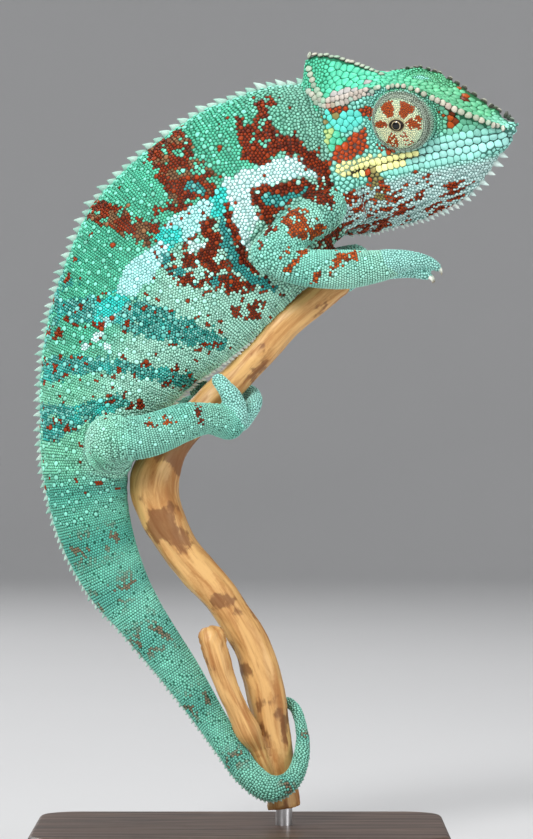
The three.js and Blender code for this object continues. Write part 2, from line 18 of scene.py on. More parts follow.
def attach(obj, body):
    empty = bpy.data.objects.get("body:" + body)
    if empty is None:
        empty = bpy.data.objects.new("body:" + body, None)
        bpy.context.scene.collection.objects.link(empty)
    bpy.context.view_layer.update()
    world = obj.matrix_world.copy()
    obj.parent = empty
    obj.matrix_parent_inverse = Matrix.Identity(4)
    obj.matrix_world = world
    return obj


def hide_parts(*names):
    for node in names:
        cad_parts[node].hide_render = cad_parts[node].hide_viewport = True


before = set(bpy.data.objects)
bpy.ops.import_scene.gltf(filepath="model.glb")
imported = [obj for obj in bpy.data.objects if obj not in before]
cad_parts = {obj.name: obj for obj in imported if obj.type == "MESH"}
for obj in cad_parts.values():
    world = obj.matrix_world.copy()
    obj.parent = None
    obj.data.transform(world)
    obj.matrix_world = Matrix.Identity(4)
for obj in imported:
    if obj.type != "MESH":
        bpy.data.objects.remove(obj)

Array = np.ndarray
Material = bpy.types.Material
Object = bpy.types.Object
Socket = bpy.types.NodeSocket
Tree = bpy.types.NodeTree

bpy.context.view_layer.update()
LOG = logging.getLogger("chameleon")
MM = 0.001
SEED = 20
ROOT_BODY = "root"
BAKE_MAP = "OFBake"
LIMB_UP = (0, 0.3, 1)
LOCATE_BATCH = 20000
TINT = "tint"
RISE = "rise"
SPOKES = 12


class Part(IntEnum):
    """Which part of the animal a point of the skin belongs to."""

    TRUNK, HEAD, ARM, LEG, TOE, TURRET = range(6)


class Kind(IntEnum):
    """The forms of scale."""

    GRANULE, PLATE, SPIKE, KNOB, BEAD = range(5)


class Side(Enum):
    """The animal's own right and left."""

    RIGHT = -1
    LEFT = 1

    @property
    def word(self) -> str:
        """The side as it stands in names."""
        return self.name.lower()


# ---- Lines, surfaces and fields -------------------------------------------------------------------
def spline(knots: Array, where: Array) -> Array:
    """Reads a centripetal Catmull-Rom curve.

    Args:
        knots: The points that the curve passes through.
        where: Places along the curve, counted in knots.

    Returns:
        The curve's points.
    """
    knots = np.asarray(knots, float)
    last = len(knots) - 1
    place = np.clip(np.asarray(where, float), 0, last)
    first = np.minimum(place.astype(int), last - 1)
    share = (place - first)[:, None]
    padded = np.vstack([2 * knots[0] - knots[1], knots, 2 * knots[-1] - knots[-2]])
    p0, p1, p2, p3 = (padded[first + k] for k in range(4))
    d0, d1, d2 = (np.sqrt(np.linalg.norm(b - a, axis=1))[:, None] for a, b in ((p0, p1), (p1, p2), (p2, p3)))
    d1 = np.where(d1 < 1e-4, 1.0, d1)
    d0, d2 = np.where(d0 < 1e-4, d1, d0), np.where(d2 < 1e-4, d1, d2)
    t1 = ((p1 - p0) / d0 - (p2 - p0) / (d0 + d1) + (p2 - p1) / d1) * d1
    t2 = ((p2 - p1) / d1 - (p3 - p1) / (d1 + d2) + (p3 - p2) / d2) * d1
    square, cube = -3 * p1 + 3 * p2 - 2 * t1 - t2, 2 * p1 - 2 * p2 + t1 + t2
    return p1 + t1 * share + square * share**2 + cube * share**3


def unit(vectors: Array) -> Array:
    """Vectors of length one."""
    return vectors / np.maximum(np.linalg.norm(vectors, axis=-1, keepdims=True), 1e-9)


def turns(count: int) -> Array:
    """Angles that go once round."""
    return np.linspace(0, math.tau, count, endpoint=False)


def lengths(path: Array) -> Array:
    """The way along a path to each of its points."""
    return np.concatenate([[0], np.cumsum(np.linalg.norm(np.diff(path, axis=0), axis=1))])


def ramp(low: float, high: float, value: Array) -> Array:
    """A soft step from 0 at low to 1 at high."""
    t = np.clip((value - low) / (high - low), 0, 1)
    return t * t * (3 - 2 * t)


def bump(value: Array, width: float, power: int = 2) -> Array:
    """A soft rise of height 1 where a value is near 0."""
    return np.exp(-((value / width) ** power))


def noise(points: Array, size: float, seed: int) -> Array:
    """Smooth lattice noise from -1 to 1.

    Args:
        points: Places in millimetres.
        size: Width of one lump in millimetres.
        seed: Chooses the pattern.

    Returns:
        One value for each place.
    """
    table = np.random.default_rng(seed).uniform(-1, 1, 4096)
    scaled = points / size + seed * 7.31
    cell = np.floor(scaled).astype(np.int64)
    share = scaled - cell
    share = share * share * (3 - 2 * share)
    total = np.zeros(len(points))
    for corner in range(8):
        step = np.array([corner & 1, corner >> 1 & 1, corner >> 2 & 1])
        key = (cell + step) @ np.array([73856093, 19349663, 83492791])
        total += np.prod(np.where(step, share, 1 - share), axis=1) * table[np.abs(key) % 4096]
    return total


def search_tree(points: Array) -> KDTree:
    """A tree that finds near points fast."""
    tree = KDTree(len(points))
    for k, point in enumerate(points.tolist()):
        tree.insert(point, k)
    tree.balance()
    return tree


def nearest(tree: BVHTree, points: Array) -> Array:
    """The nearest place on a surface for each point."""
    return np.array([tree.find_nearest(Vector(point))[0] for point in points.tolist()])


class SoftLine:
    """A smooth line through stations, with half sizes and a frame that doesn't twist."""

    def __init__(self, stations: list, first_up: tuple = (0.0, 0.0, 1.0), steps: int = 12) -> None:
        """Samples the line.

        Args:
            stations: Rows of x, y, z and the half sizes to back, belly and side, or one for all three.
            first_up: Direction of the back at the start.
            steps: Samples between two stations.
        """
        rows = np.array([row if len(row) == 6 else (*row[:3], *row[3:] * 3) for row in stations], float)
        self.last = len(rows) - 1
        self.place = np.linspace(0, self.last, self.last * steps + 1)
        self.middle = spline(rows[:, :3], self.place)
        self.size = np.maximum(spline(rows[:, 3:6], self.place), 0.05)
        self.ahead = unit(np.gradient(self.middle, axis=0))
        ups, up = [], np.asarray(first_up, float)
        for ahead in self.ahead:
            up = up - ahead * (up @ ahead)
            up = up / np.linalg.norm(up)
            ups.append(up)
        self.up = np.array(ups)
        self.side = np.cross(self.ahead, self.up)
        self.run = lengths(self.middle)

    def at(self, where: Array) -> dict:
        """Middles, frames and half sizes at places counted in stations."""
        where = np.atleast_1d(np.asarray(where, float))
        read = lambda values: np.stack([np.interp(where, self.place, column) for column in values.T], 1)
        found = {name: unit(read(getattr(self, name))) for name in ("ahead", "up", "side")}
        return {"middle": read(self.middle), "size": read(self.size), **found}

    def surface(self, where: Array, turn: Array | float, keel: Array | float, sink: float = 0.0) -> Array:
        """Points on the tube round the line.

        Args:
            where: Places counted in stations.
            turn: Angles round the line, 0 at the back and rising towards the side vector.
            keel: Over 1 draws the back and the belly in to an edge.
            sink: Depth under the full size, in millimetres.

        Returns:
            One point for each pair of place and angle.
        """
        at = self.at(where)
        high, low, wide = at["size"].T
        reach = np.cos(turn) * np.maximum(np.where(np.cos(turn) > 0, high, low) - sink, 0.1)
        across = np.sign(np.sin(turn)) * np.abs(np.sin(turn)) ** keel * np.maximum(wide - sink, 0.1)
        return at["middle"] + at["up"] * reach[:, None] + at["side"] * across[:, None]

    def edge(self, span: tuple, turn: float, keel: float, pitch: tuple, shift: float = 0.0) -> Array:
        """Places that lie evenly along one edge of the tube.

        Args:
            span: First and last place, counted in stations.
            turn: Which edge, as an angle round the line.
            keel: How sharply back and belly are drawn in.
            pitch: Places and the spacing there in millimetres.
            shift: Share of the first spacing to begin with.

        Returns:
            The places.
        """
        fine = np.linspace(*span, 1500)
        run = lengths(self.surface(fine, np.full(1500, turn), keel))
        at, places = shift * float(np.interp(span[0], *pitch)), []
        while at < run[-1]:
            places.append(float(np.interp(at, run, fine)))
            at += float(np.interp(places[-1], *pitch))
        return np.array(places)

    def locate(self, points: Array) -> dict:
        """Places points against the line.

        Args:
            points: Places in millimetres.

        Returns:
            For each point its place and way along the line, the angle round it, and how far out it
            lies, where 1 is on the tube's surface.
        """
        near = np.empty(len(points), int)
        for low in range(0, len(points), LOCATE_BATCH):
            batch = slice(low, low + LOCATE_BATCH)
            apart = (self.middle**2).sum(1)[None] - 2 * points[batch] @ self.middle.T
            near[batch] = np.argmin(apart, axis=1)
        offset = points - self.middle[near]
        rise, over, beyond = ((offset * way[near]).sum(1) for way in (self.up, self.side, self.ahead))
        high, low, wide = self.size[near].T
        height = np.where(rise > 0, high, low)
        ratio = np.sqrt((rise / height) ** 2 + (over / wide) ** 2 + (beyond / wide) ** 2)
        turn = np.arctan2(over, rise)
        return {"place": self.place[near], "turn": turn, "ratio": ratio, "run": self.run[near]}


@dataclass
class Shell:
    """A triangle or quad mesh under way, in millimetres."""

    points: Array
    faces: list

    def to_object(self, name: str) -> Object:
        """Makes a linked Blender object of the shell, in metres."""
        mesh = bpy.data.meshes.new(name)
        mesh.from_pydata((self.points * MM).tolist(), [], self.faces)
        mesh.update()
        made = bpy.data.objects.new(name, mesh)
        bpy.context.scene.collection.objects.link(made)
        return made


def loft(rings: Array, pinch: bool = True) -> Shell:
    """Closes equal rings into one shell.

    Args:
        rings: Points as rings by points by xyz.
        pinch: Whether each end closes on its own middle point.

    Returns:
        The closed shell, its faces pointing out.
    """
    count, sides = rings.shape[:2]
    points = rings.reshape(-1, 3)
    i, j = np.meshgrid(np.arange(count - 1), np.arange(sides), indexing="ij")
    a, b = i * sides + j, i * sides + (j + 1) % sides
    faces = np.stack([a, b, b + sides, a + sides], -1).reshape(-1, 4).tolist()
    if pinch:
        hub, end = len(points), (count - 1) * sides
        points = np.vstack([points, rings[0].mean(0), rings[-1].mean(0)])
        faces += [[(k + 1) % sides, k, hub] for k in range(sides)]
        faces += [[end + k, end + (k + 1) % sides, hub + 1] for k in range(sides)]
    tris = np.array([face[:3] for face in faces] + [[f[0], f[2], f[3]] for f in faces if len(f) == 4])
    p, q, r = (points[tris[:, k]] for k in range(3))
    outwards = (p * np.cross(q, r)).sum() >= 0
    return Shell(points, faces if outwards else [face[::-1] for face in faces])


def join(shells: list) -> Shell:
    """One shell from several."""
    faces, start = [], 0
    for shell in shells:
        faces += [[corner + start for corner in face] for face in shell.faces]
        start += len(shell.points)
    return Shell(np.vstack([shell.points for shell in shells]), faces)


def read(items: object, name: str, width: int = 3, kind: type = np.float32) -> Array:
    """Reads one row of numbers from each vertex, edge or triangle."""
    flat = np.empty(len(items) * width, kind)
    items.foreach_get(name, flat)
    return flat.reshape(-1, width)


def mesh_points(mesh: bpy.types.Mesh) -> Array:
    """A mesh's vertex places in millimetres."""
    return read(mesh.vertices, "co").astype(float) / MM


def mesh_normals(mesh: bpy.types.Mesh) -> Array:
    """A mesh's vertex normals."""
    return read(mesh.vertex_normals, "vector").astype(float)


def set_points(mesh: bpy.types.Mesh, points: Array) -> None:
    """Writes vertex places given in millimetres."""
    mesh.vertices.foreach_set("co", (points * MM).astype(np.float32).ravel())
    mesh.update()


def give(mesh: bpy.types.Mesh, name: str, values: Array) -> None:
    """Stores one value for each vertex as a named attribute.

    Args:
        mesh: The mesh that gets it.
        name: The attribute's name. The tint is a colour.
        values: One row or number for each vertex.
    """
    kind, slot = ("FLOAT", "value") if values.ndim == 1 else ("FLOAT_VECTOR", "vector")
    if name == TINT:
        kind, slot = "FLOAT_COLOR", "color"
        values = np.hstack([values, np.ones((len(values), 1))])
    mesh.attributes.new(name, kind, "POINT").data.foreach_set(slot, np.asarray(values, np.float32).ravel())


def finish_modifiers(made: Object) -> Object:
    """Turns an object with live modifiers into a plain mesh of the same name."""
    bpy.context.view_layer.update()
    graph = bpy.context.evaluated_depsgraph_get()
    mesh = bpy.data.meshes.new_from_object(made.evaluated_get(graph), depsgraph=graph)
    old = made.data
    made.modifiers.clear()
    made.data = mesh
    mesh.name = made.name
    bpy.data.meshes.remove(old)
    return made


def remesh(shell: Shell, name: str, voxel: float) -> Object:
    """Melts a shell's pieces into one closed surface, with voxels of the given size in millimetres."""
    made = shell.to_object(name)
    modifier = made.modifiers.new("Remesh", "REMESH")
    modifier.mode = "VOXEL"
    modifier.voxel_size = voxel * MM
    modifier.use_smooth_shade = True
    return finish_modifiers(made)


def present(piece: Object, slot: str, finish: Material | None = None, nodes: tuple = ()) -> Object:
    """Gives a piece its finish and its body.

    Args:
        piece: The finished mesh.
        slot: The name of its material slot; not used.
        finish: Its material, unless it has one.
        nodes: The frame's nodes that it replaces.

    Returns:
        The piece.
    """
    if finish:
        piece.data.materials.append(finish)
        piece.data.shade_smooth()
    if nodes:
        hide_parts(*nodes)
    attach(piece, ROOT_BODY)
    return piece


@dataclass
class Spine:
    """The line of neck, trunk and tail, from inside the back of the head to the tail's tip."""

    stations: list = field(default_factory=lambda: [
        (36, -2, 209, 15, 18, 9), (27.6, 0.5, 208, 23.5, 22, 11.5), (17.5, 0.5, 205.5, 28, 27, 13),
        (8.3, 0, 199.5, 31.4, 30.5, 14), (0, 0, 194, 31.8, 31, 14.5), (-9.8, 0, 185.4, 32.6, 31.5, 15),
        (-19.2, 0, 176.4, 32.2, 31.5, 15), (-28, 0, 165.2, 28.7, 29, 14.5), (-35, 0, 154.5, 24.7, 25, 13.5),
        (-40.2, 0, 143.4, 20.7, 21.5, 12.8), (-43.8, 0, 132.2, 17, 17.8, 12),
        (-46.4, 0, 121.2, 13.8, 14.5, 10.5), (-45.9, 0, 108.9, 12, 12.5, 9.2),
        (-43.4, 0, 97.5, 11, 11.5, 8.6), (-37.5, 0, 83.4, 9.4, 9.9, 7.6),
        (-29.4, 0, 71.4, 7.4, 7.7, 6.3), (-17.4, 0, 54.9, 6, 6.2, 5.4), (-8.4, -2, 41.4, 4.8, 4.9, 4.6),
        (-3.3, -5, 33.9, 4.4, 4.5, 4.3), (3, -9.6, 25.8, 4.3, 4.4, 4.1), (9.6, -10.4, 21.6, 4.3, 4.4, 3.9),
        (15.6, -8.6, 24.3, 3.5, 3.5, 3.4), (18.6, -3.6, 32.1, 3.1, 3.1, 3), (18.6, 0.6, 38.4, 2.6),
        (15.9, 5, 45.6, 2.3), (10.5, 8.3, 46, 2.1), (4.3, 6, 41, 1.9), (4.2, 4.4, 33.5, 1.6),
        (5, 1.8, 27.5, 1.1),
    ])
    trunk_keel: float = 1.22
    tail_keel: float = 1.05

    def keel(self, where: Array) -> Array:
        """How sharply back and belly are drawn in at places along the line."""
        return self.trunk_keel + (self.tail_keel - self.trunk_keel) * ramp(9.5, 13.5, where)


@dataclass
class HeadForm:
    """The head's rails in its own frame: forward, then half width and height of each rail."""

    place: tuple = (52.4, -9.0, 224.4)
    yaw: float = math.radians(-22)
    roll: float = math.radians(19)
    forward: tuple = (-36, -32.5, -27, -18, -10, -3, 4, 12, 19, 24.5, 27.8, 30.4)
    top: tuple = (6.5, 17.8, 17.8, 15.2, 11.4, 7.6, 5.9, 3, -1.2, -4, -5.6, -6.4)
    ridge: tuple = (
        (3, 3), (5, 7.6), (9, 5.4), (10.8, 7), (11.2, 9.2), (11.4, 10.4),
        (11.2, 9), (10.2, 4.3), (8.6, 0), (6.8, -3.4), (5.2, -5.2), (3, -6.6),
    )
    wall: tuple = (
        (5.5, -6), (8, -2.5), (9.8, -1.5), (10.2, 0.8), (9.4, 2), (9.2, 2),
        (9, 1.4), (8, -1.2), (6.6, -3.8), (4.9, -5.6), (3.4, -6.8), (1.8, -7),
    )
    cheek: tuple = (
        (6, -15), (9.6, -13.4), (11.2, -13.6), (11.8, -12.8), (11.2, -12), (10.4, -11.2),
        (9.4, -10.2), (7.8, -9.2), (6, -8.8), (4.2, -8.8), (2.7, -8.6), (1.2, -7.6),
    )
    jaw: tuple = (
        (6, -20), (9.4, -19.5), (11, -20.6), (11.6, -21), (11.2, -20), (10.4, -18.2),
        (9.4, -17), (7.7, -15.6), (5.9, -13.8), (4.1, -11.8), (2.6, -10.6), (1, -8),
    )
    throat: tuple = (
        (4.5, -28), (7.4, -30), (8.6, -31.5), (8.8, -31), (8.2, -30), (7.4, -28),
        (6.6, -26), (5.4, -23), (4, -18.8), (2.6, -14.4), (1.5, -11.8), (0.6, -8.4),
    )
    under: tuple = (-34, -38.5, -40, -39.2, -37.5, -35.6, -33, -29.6, -23.6, -16.4, -13, -8.6)
    mouth_front: float = -9.6
    mouth_slope: float = 0.145
    mouth_corner: float = -18.5

    def __post_init__(self) -> None:
        """Works out the head's axes."""
        (cos_yaw, sin_yaw), (cos_roll, sin_roll) = ((math.cos(a), math.sin(a)) for a in (self.yaw, self.roll))
        turn = np.array([[cos_yaw, -sin_yaw, 0], [sin_yaw, cos_yaw, 0], [0, 0, 1]])
        lean = np.array([[1, 0, 0], [0, cos_roll, -sin_roll], [0, sin_roll, cos_roll]])
        self.axes = turn @ lean

    def to_world(self, local: Array) -> Array:
        """Head places (forward, left, up) in the part's frame."""
        return local @ self.axes.T + np.array(self.place)

    def to_local(self, world: Array) -> Array:
        """Places of the part's frame as forward, left and up in the head."""
        return (world - np.array(self.place)) @ self.axes

    def rail(self, name: str, where: Array) -> Array:
        """One rail of the left side as forward, half width and height at places along the head."""
        pairs = np.array([(0, v) if np.isscalar(v) else v for v in getattr(self, name)], float)
        return spline(np.column_stack([self.forward, pairs]), where)

    def read(self, name: str, forward: Array, column: int = 1) -> Array:
        """Height (1) or half width (0) of a rail, straight between its points."""
        return np.interp(forward, self.forward, np.array(getattr(self, name))[:, column])

    def mouth_height(self, forward: Array) -> Array:
        """Height of the line between the lips."""
        rear = np.clip(forward, self.mouth_corner, 30)
        swell = 0.9 * np.sin((rear + 18.5) / 46 * math.pi)
        return self.mouth_front + self.mouth_slope * (rear - 27.6) + swell

    def roof(self, s: "Survey") -> Array:
        """How clearly each point lies on the head's top, between its two ridges."""
        high = s.up > self.mouth_height(s.forward) + 7
        calm = np.hypot(s.forward + 1, s.up + 1.3) > np.where(s.aside > 5, 9.6, 0)
        return ramp(0.2, 0.45, s.normals @ self.axes[:, 2]) * high * calm * (s.forward > -30)

    def rings(self, count: int, sink: float) -> Array:
        """Closed rings of the head's surface, in the part's frame.

        Args:
            count: Rings from the neck to the snout.
            sink: Depth under the full size, in millimetres.

        Returns:
            Rings by points by xyz.
        """
        where = np.linspace(0, len(self.forward) - 1, count)
        order = ("top", "ridge", "wall", "cheek", "jaw", "throat", "under")
        rails = [self.rail(name, where) for name in order]
        fine = [rails[0]]
        for low, high in zip(rails, rails[1:]):
            fine += [low * (1 - share) + high * share for share in np.linspace(0, 1, 6)[1:]]
        half = np.stack(fine, 1)
        normal = np.zeros_like(half)
        step = np.gradient(half, axis=1)
        normal[..., 1], normal[..., 2] = -step[..., 2], step[..., 1]
        normal[:, 0], normal[:, -1] = (0, 0, 1), (0, 0, -1)
        half = half - unit(normal) * sink
        half[:, 0, 1] = half[:, -1, 1] = 0
        other = half[:, 1:-1][:, ::-1] * np.array([1, -1, 1])
        return self.to_world(np.concatenate([half, other], 1))


@dataclass
class Eye:
    """The turret of skin round an eye and the ball inside it, in the head's frame."""

    rim: float = 9.5
    dome: float = 5.2
    sunk: float = 3.0
    ball: float = 2.1
    ball_out: float = 0.55
    forward: float = -1.0
    up: float = -1.3
    side: float = 10.4

    def profile(self, share: Array, sink: float = 0.0) -> tuple:
        """Radius and height of the turret from its rim (0) to its pupil (1)."""
        turn = share * math.pi / 2
        return (self.rim - sink) * np.cos(turn) ** 0.9, (self.dome - sink) * np.sin(turn)

    def place(self, side: Side, radius: Array, height: Array, turn: Array) -> Array:
        """Head-frame places on the turret at a radius, a height out and an angle round the gaze."""
        lateral = side.value * (self.side + height) + 0 * turn
        return np.stack([self.forward + radius * np.cos(turn), lateral, self.up + radius * np.sin(turn)], -1)


LIMBS: dict = {
    "upper_arm_right": [(24, -8, 194.5, 7.6), (15.8, -14.5, 187.4, 6.6), (8.6, -18.5, 180.6, 5.7)],
    "forearm_right": [
        (9, -18.5, 179.4, 5.6), (16, -18.5, 176.9, 5.7), (30, -17.5, 175.9, 6.1),
        (39.5, -16.6, 176.7, 5.2), (43.5, -16, 177.4, 4.7),
    ],
    "upper_arm_left": [(24, 8, 194.5, 7.6), (14.5, 14.5, 188.5, 6.6), (7, 18.5, 182.6, 5.7)],
    "forearm_left": [
        (7, 18.5, 181.6, 5.4), (17, 16.5, 179.5, 5), (27, 11, 179, 4.8), (34.4, 5.6, 179.4, 5.3),
    ],
    "thigh_right": [(-39, -5, 121, 7.6), (-38.6, -10.5, 123.4, 7.8), (-38.6, -15, 126.2, 7.2)],
    "shank_right": [
        (-38.6, -16, 125.4, 6.9), (-27, -16.5, 126.8, 6.7), (-15.5, -14.5, 131, 5.9),
        (-9, -11.5, 131.8, 4.9), (-3.4, -7, 130.4, 5.2),
    ],
    "thigh_left": [(-39, 5, 121, 7.6), (-39.5, 10.5, 122.5, 7.8), (-40.4, 15.5, 124.4, 7.2)],
    "shank_left": [
        (-40, 16.5, 123.6, 6.9), (-28, 17.5, 127.5, 6.4), (-16.5, 15, 133, 5.4), (-9.5, 10.8, 136.2, 5),
    ],
}


@dataclass
class ToeBundle:
    """Toes that lie side by side and close on the branch together."""

    route: list
    spread: tuple
    toes: int
    claw: tuple

    def lines(self) -> list:
        """The stations of each toe."""
        made = []
        for offset in np.arange(self.toes) - (self.toes - 1) / 2:
            opened = 0.55 + 0.45 * np.arange(len(self.route)) / (len(self.route) - 1)
            shift = np.array(self.spread) * offset * opened[:, None]
            made.append([(*(row[:3] + move), row[3]) for row, move in zip(self.route, shift)])
        return made


TOES: dict = {
    "hand_right_outer": ToeBundle(
        [(43.4, -16.6, 178, 4.1), (49, -16.8, 178.5, 3.3), (54, -16.4, 178.5, 2.2),
         (57.2, -15.8, 177.4, 1.75), (58.6, -15.4, 176.6, 1.35)],
        (0.1, -1.1, 0.3), 2, (0.2, 0, -1)),
    "hand_right_inner": ToeBundle(
        [(43, -12.8, 176.4, 3.5), (49, -12.8, 176.2, 2.8), (53.4, -13.8, 174.9, 1.7), (56, -14.4, 174, 1.25)],
        (0.3, 1.3, 0.2), 3, (-0.4, 0, -1)),
    "hand_left_outer": ToeBundle(
        [(35, 8, 177.8, 3), (34.6, 10.6, 175, 2.4), (32, 10.4, 172.4, 2), (29.6, 9.4, 170.8, 1.6)],
        (2.2, 0, -0.9), 2, (0, -1, -0.3)),
    "hand_left_inner": ToeBundle(
        [(34, 1.5, 178.6, 3), (33.6, -3.4, 177.4, 2.3), (31.8, -6.8, 175.6, 2), (30, -7.6, 174, 1.6)],
        (1.9, -0.3, -0.9), 3, (-0.3, 0.6, -0.6)),
    "foot_right_inner": ToeBundle(
        [(-1.4, -7.4, 132.6, 3.2), (-1.6, -8.6, 136.2, 2.8), (-3.2, -8.6, 139.8, 2.6),
         (-4.8, -7.4, 141.8, 2.3)],
        (3, 0, -2.8), 2, (-0.4, 0.9, 0.2)),
    "foot_right_outer": ToeBundle(
        [(1, -3.4, 131.4, 2.8), (3.4, 1.2, 135, 2.5), (3, 5.6, 137.8, 2.2), (0.2, 8, 139.8, 1.7)],
        (1.3, 0, 1.7), 3, (-0.7, 0, 0.6)),
    "foot_left_inner": ToeBundle(
        [(-11, 9.2, 137.6, 3), (-12.4, 7.2, 140.2, 2.4), (-12.6, 4.8, 142, 1.9)],
        (2, 0, 1.9), 2, (0.3, -0.9, 0.2)),
    "foot_left_outer": ToeBundle(
        [(-6.6, 9.6, 134.6, 2.8), (-3.8, 6.6, 133.4, 2.3), (-2.6, 3.8, 132.8, 1.8)],
        (1.7, 0, 1.5), 3, (0, -1, 0.3)),
}


def tube_shell(line: SoftLine, keel: object, sides: int, step: float, sink: float,
               blunt: tuple = (True, True)) -> Shell:
    """A closed tube round a line.

    Args:
        line: The line with its half sizes.
        keel: Over 1 draws the back and the belly in to an edge.
        sides: Points round the tube.
        step: Length of one ring's stretch in millimetres.
        sink: Depth under the full size.
        blunt: Whether the near and the far end are rounded, not cut off flat.

    Returns:
        The closed shell.
    """
    count = max(int(line.run[-1] / step), 6)
    where = np.interp(np.linspace(0, line.run[-1], count), line.run, line.place)
    sharp = np.repeat(keel(where), sides) if callable(keel) else keel
    rings = line.surface(np.repeat(where, sides), np.tile(turns(sides), count), sharp, sink)
    rings = rings.reshape(count, sides, 3)
    ends = []
    for index, sign in ((0, -1), (-1, 1)):
        hub = rings[index].mean(0)
        ahead = line.ahead[index] * sign * (line.size[index].min() - sink)
        arc = np.linspace(0.3, 1.45, 5)
        cap = [hub + ahead * math.sin(a) + (rings[index] - hub) * math.cos(a) for a in arc]
        ends.append(np.array(cap[::sign]))
    return loft(np.concatenate([*ends[: blunt[0]], rings, *ends[1 : 1 + blunt[1]]]))


@dataclass
class Survey:
    """What lies where on the body: one row for each point looked at."""

    points: Array
    normals: Array
    label: Array
    part: Array
    place: Array
    turn: Array
    run: Array
    local: Array
    gaze: Array
    gaze_turn: Array
    heady: Array
    skull: Array

    def take(self, rows: Array) -> "Survey":
        """The survey of some of the points."""
        return Survey(*(getattr(self, name)[rows] for name in self.__dataclass_fields__))

    @property
    def forward(self) -> Array:
        """How far forward in the head's frame."""
        return self.local[:, 0]

    @property
    def up(self) -> Array:
        """How high in the head's frame."""
        return self.local[:, 2]

    @property
    def aside(self) -> Array:
        """How far from the head's middle plane."""
        return np.abs(self.local[:, 1])

    @property
    def flat(self) -> Array:
        """The points seen from the side."""
        return self.points[:, [0, 2]]

    @property
    def profile(self) -> Array:
        """The points seen from the head's own side."""
        return self.local[:, [0, 2]]

    @property
    def axial(self) -> Array:
        """Which points lie on neck, trunk or tail."""
        return self.label == 0

    @property
    def limb(self) -> Array:
        """Which points lie on an arm or a leg."""
        return (self.part == Part.ARM) | (self.part == Part.LEG)


class Body:
    """The flesh: its lines, its closed shells and what lies where on it."""

    def __init__(self) -> None:
        """Lays out the lines and the shells, the latter just under the coat."""
        self.form, self.head, self.eye = Spine(), HeadForm(), Eye()
        self.spine = SoftLine(self.form.stations)
        self.lines, self.parts = [self.spine], [Part.TRUNK]
        for name, rows in LIMBS.items():
            self.lines.append(SoftLine(rows, LIMB_UP))
            self.parts.append(Part.ARM if "arm" in name else Part.LEG)
        for rows in (rows for bundle in TOES.values() for rows in bundle.lines()):
            self.lines.append(SoftLine(rows, LIMB_UP))
            self.parts.append(Part.TOE)
        self.head_label = len(self.lines)
        self.parts += [Part.HEAD, Part.TURRET, Part.TURRET]
        shells = [tube_shell(self.spine, self.form.keel, 72, 1.6, 0.42, (False, True))]
        for line, part in zip(self.lines[1:], self.parts[1:]):
            shells.append(tube_shell(line, 1.0, 28, 1.0, 0.3 if part is Part.TOE else 0.38))
        shells.append(loft(self.head.rings(70, 0.6)))
        shells += [self.turret_shell(side) for side in Side]
        self.owner = np.repeat(np.arange(len(shells)), [len(shell.faces) for shell in shells])
        self.whole = join(shells)
        self.near = BVHTree.FromPolygons(self.whole.points.tolist(), self.whole.faces)

    def turret_shell(self, side: Side) -> Shell:
        """The closed turret of skin round one eye."""
        radius, height = self.eye.profile(np.linspace(0, 1, 18)[:-1], 0.35)
        radius = np.concatenate([[radius[0] * 0.8, radius[0]], radius])
        height = np.concatenate([[-6, -self.eye.sunk], height])
        rings = self.eye.place(side, radius[:, None], height[:, None], turns(72)[None, :])
        return loft(self.head.to_world(rings))

    def survey(self, points: Array, normals: Array) -> Survey:
        """Finds what part of the body each point is on, and where on it.

        Args:
            points: Places on the skin in millimetres.
            normals: The skin's directions there.

        Returns:
            The survey.
        """
        label = self.owner[[self.near.find_nearest(Vector(p))[2] for p in points.tolist()]]
        place, turn, run = np.zeros((3, len(points)))
        for k, line in enumerate(self.lines):
            rows = np.flatnonzero(label == k)
            if len(rows):
                found = line.locate(points[rows])
                place[rows], turn[rows], run[rows] = found["place"], found["turn"], found["run"]
        local = self.head.to_local(points)
        label[(label == 0) & (place < 0.85)] = self.head_label
        heady, skull = label >= self.head_label, label == self.head_label
        turn[heady] = np.arctan2(local[heady, 1], local[heady, 2] + 12)
        run[heady] = local[heady, 0]
        forward, up = local[:, 0] - self.eye.forward, local[:, 2] - self.eye.up
        gaze = np.where(heady, np.hypot(forward, up), 99.0)
        part = np.array(self.parts)[label]
        part[(part == Part.TURRET) & (gaze > self.eye.rim - 1.2)] = Part.HEAD
        gaze_turn = np.arctan2(up, forward)
        return Survey(points, normals, label, part, place, turn, run, local, gaze, gaze_turn, heady, skull)


# ---- Markings -------------------------------------------------------------------------------------
def linear(code: str) -> Array:
    """A colour written as six hexadecimal digits, as linear red, green and blue."""
    value = np.array([int(code[k : k + 2], 16) for k in (0, 2, 4)]) / 255
    return np.where(value <= 0.04045, value / 12.92, ((value + 0.055) / 1.055) ** 2.4)


class Hue(Enum):
    """The named colours of the animal."""

    BACK = "52b796"
    FLANK = "a4dac6"
    RUMP = "8ed6b6"
    TAIL = "7ccdb8"
    NECK = "86bca9"
    LIMB = "84cbb9"
    TOE = "a0ddd2"
    PALE = "d6f4f0"
    STRIPE = "b4efeb"
    AQUA = "34cdc2"
    BAR = "238a80"
    TUBERCLE = "a6efe2"
    RED = "842c05"
    DEEP_RED = "440f03"
    BROWN = "7d5b3c"
    BLUE = "348f8a"
    ORANGE = "aa4a12"
    CASQUE = "57cba3"
    SNOUT = "60b486"
    BEAD = "bdb1a4"
    CHEEK = "8edccb"
    TURQUOISE = "62dccc"
    LIP = "a0ddd4"
    YELLOW = "f6f3a6"
    LIME = "b9d488"
    RUST = "b24314"
    ROOT = "4fa68f"
    LILAC = "b5b2ae"
    OLIVE = "8f8550"
    GULAR = "c2e2de"
    CREAM = "dcdcb0"
    RIM = "9aa898"
    BONE = "e4efe8"

    @property
    def linear(self) -> Array:
        """The colour as linear red, green and blue."""
        return linear(self.value)


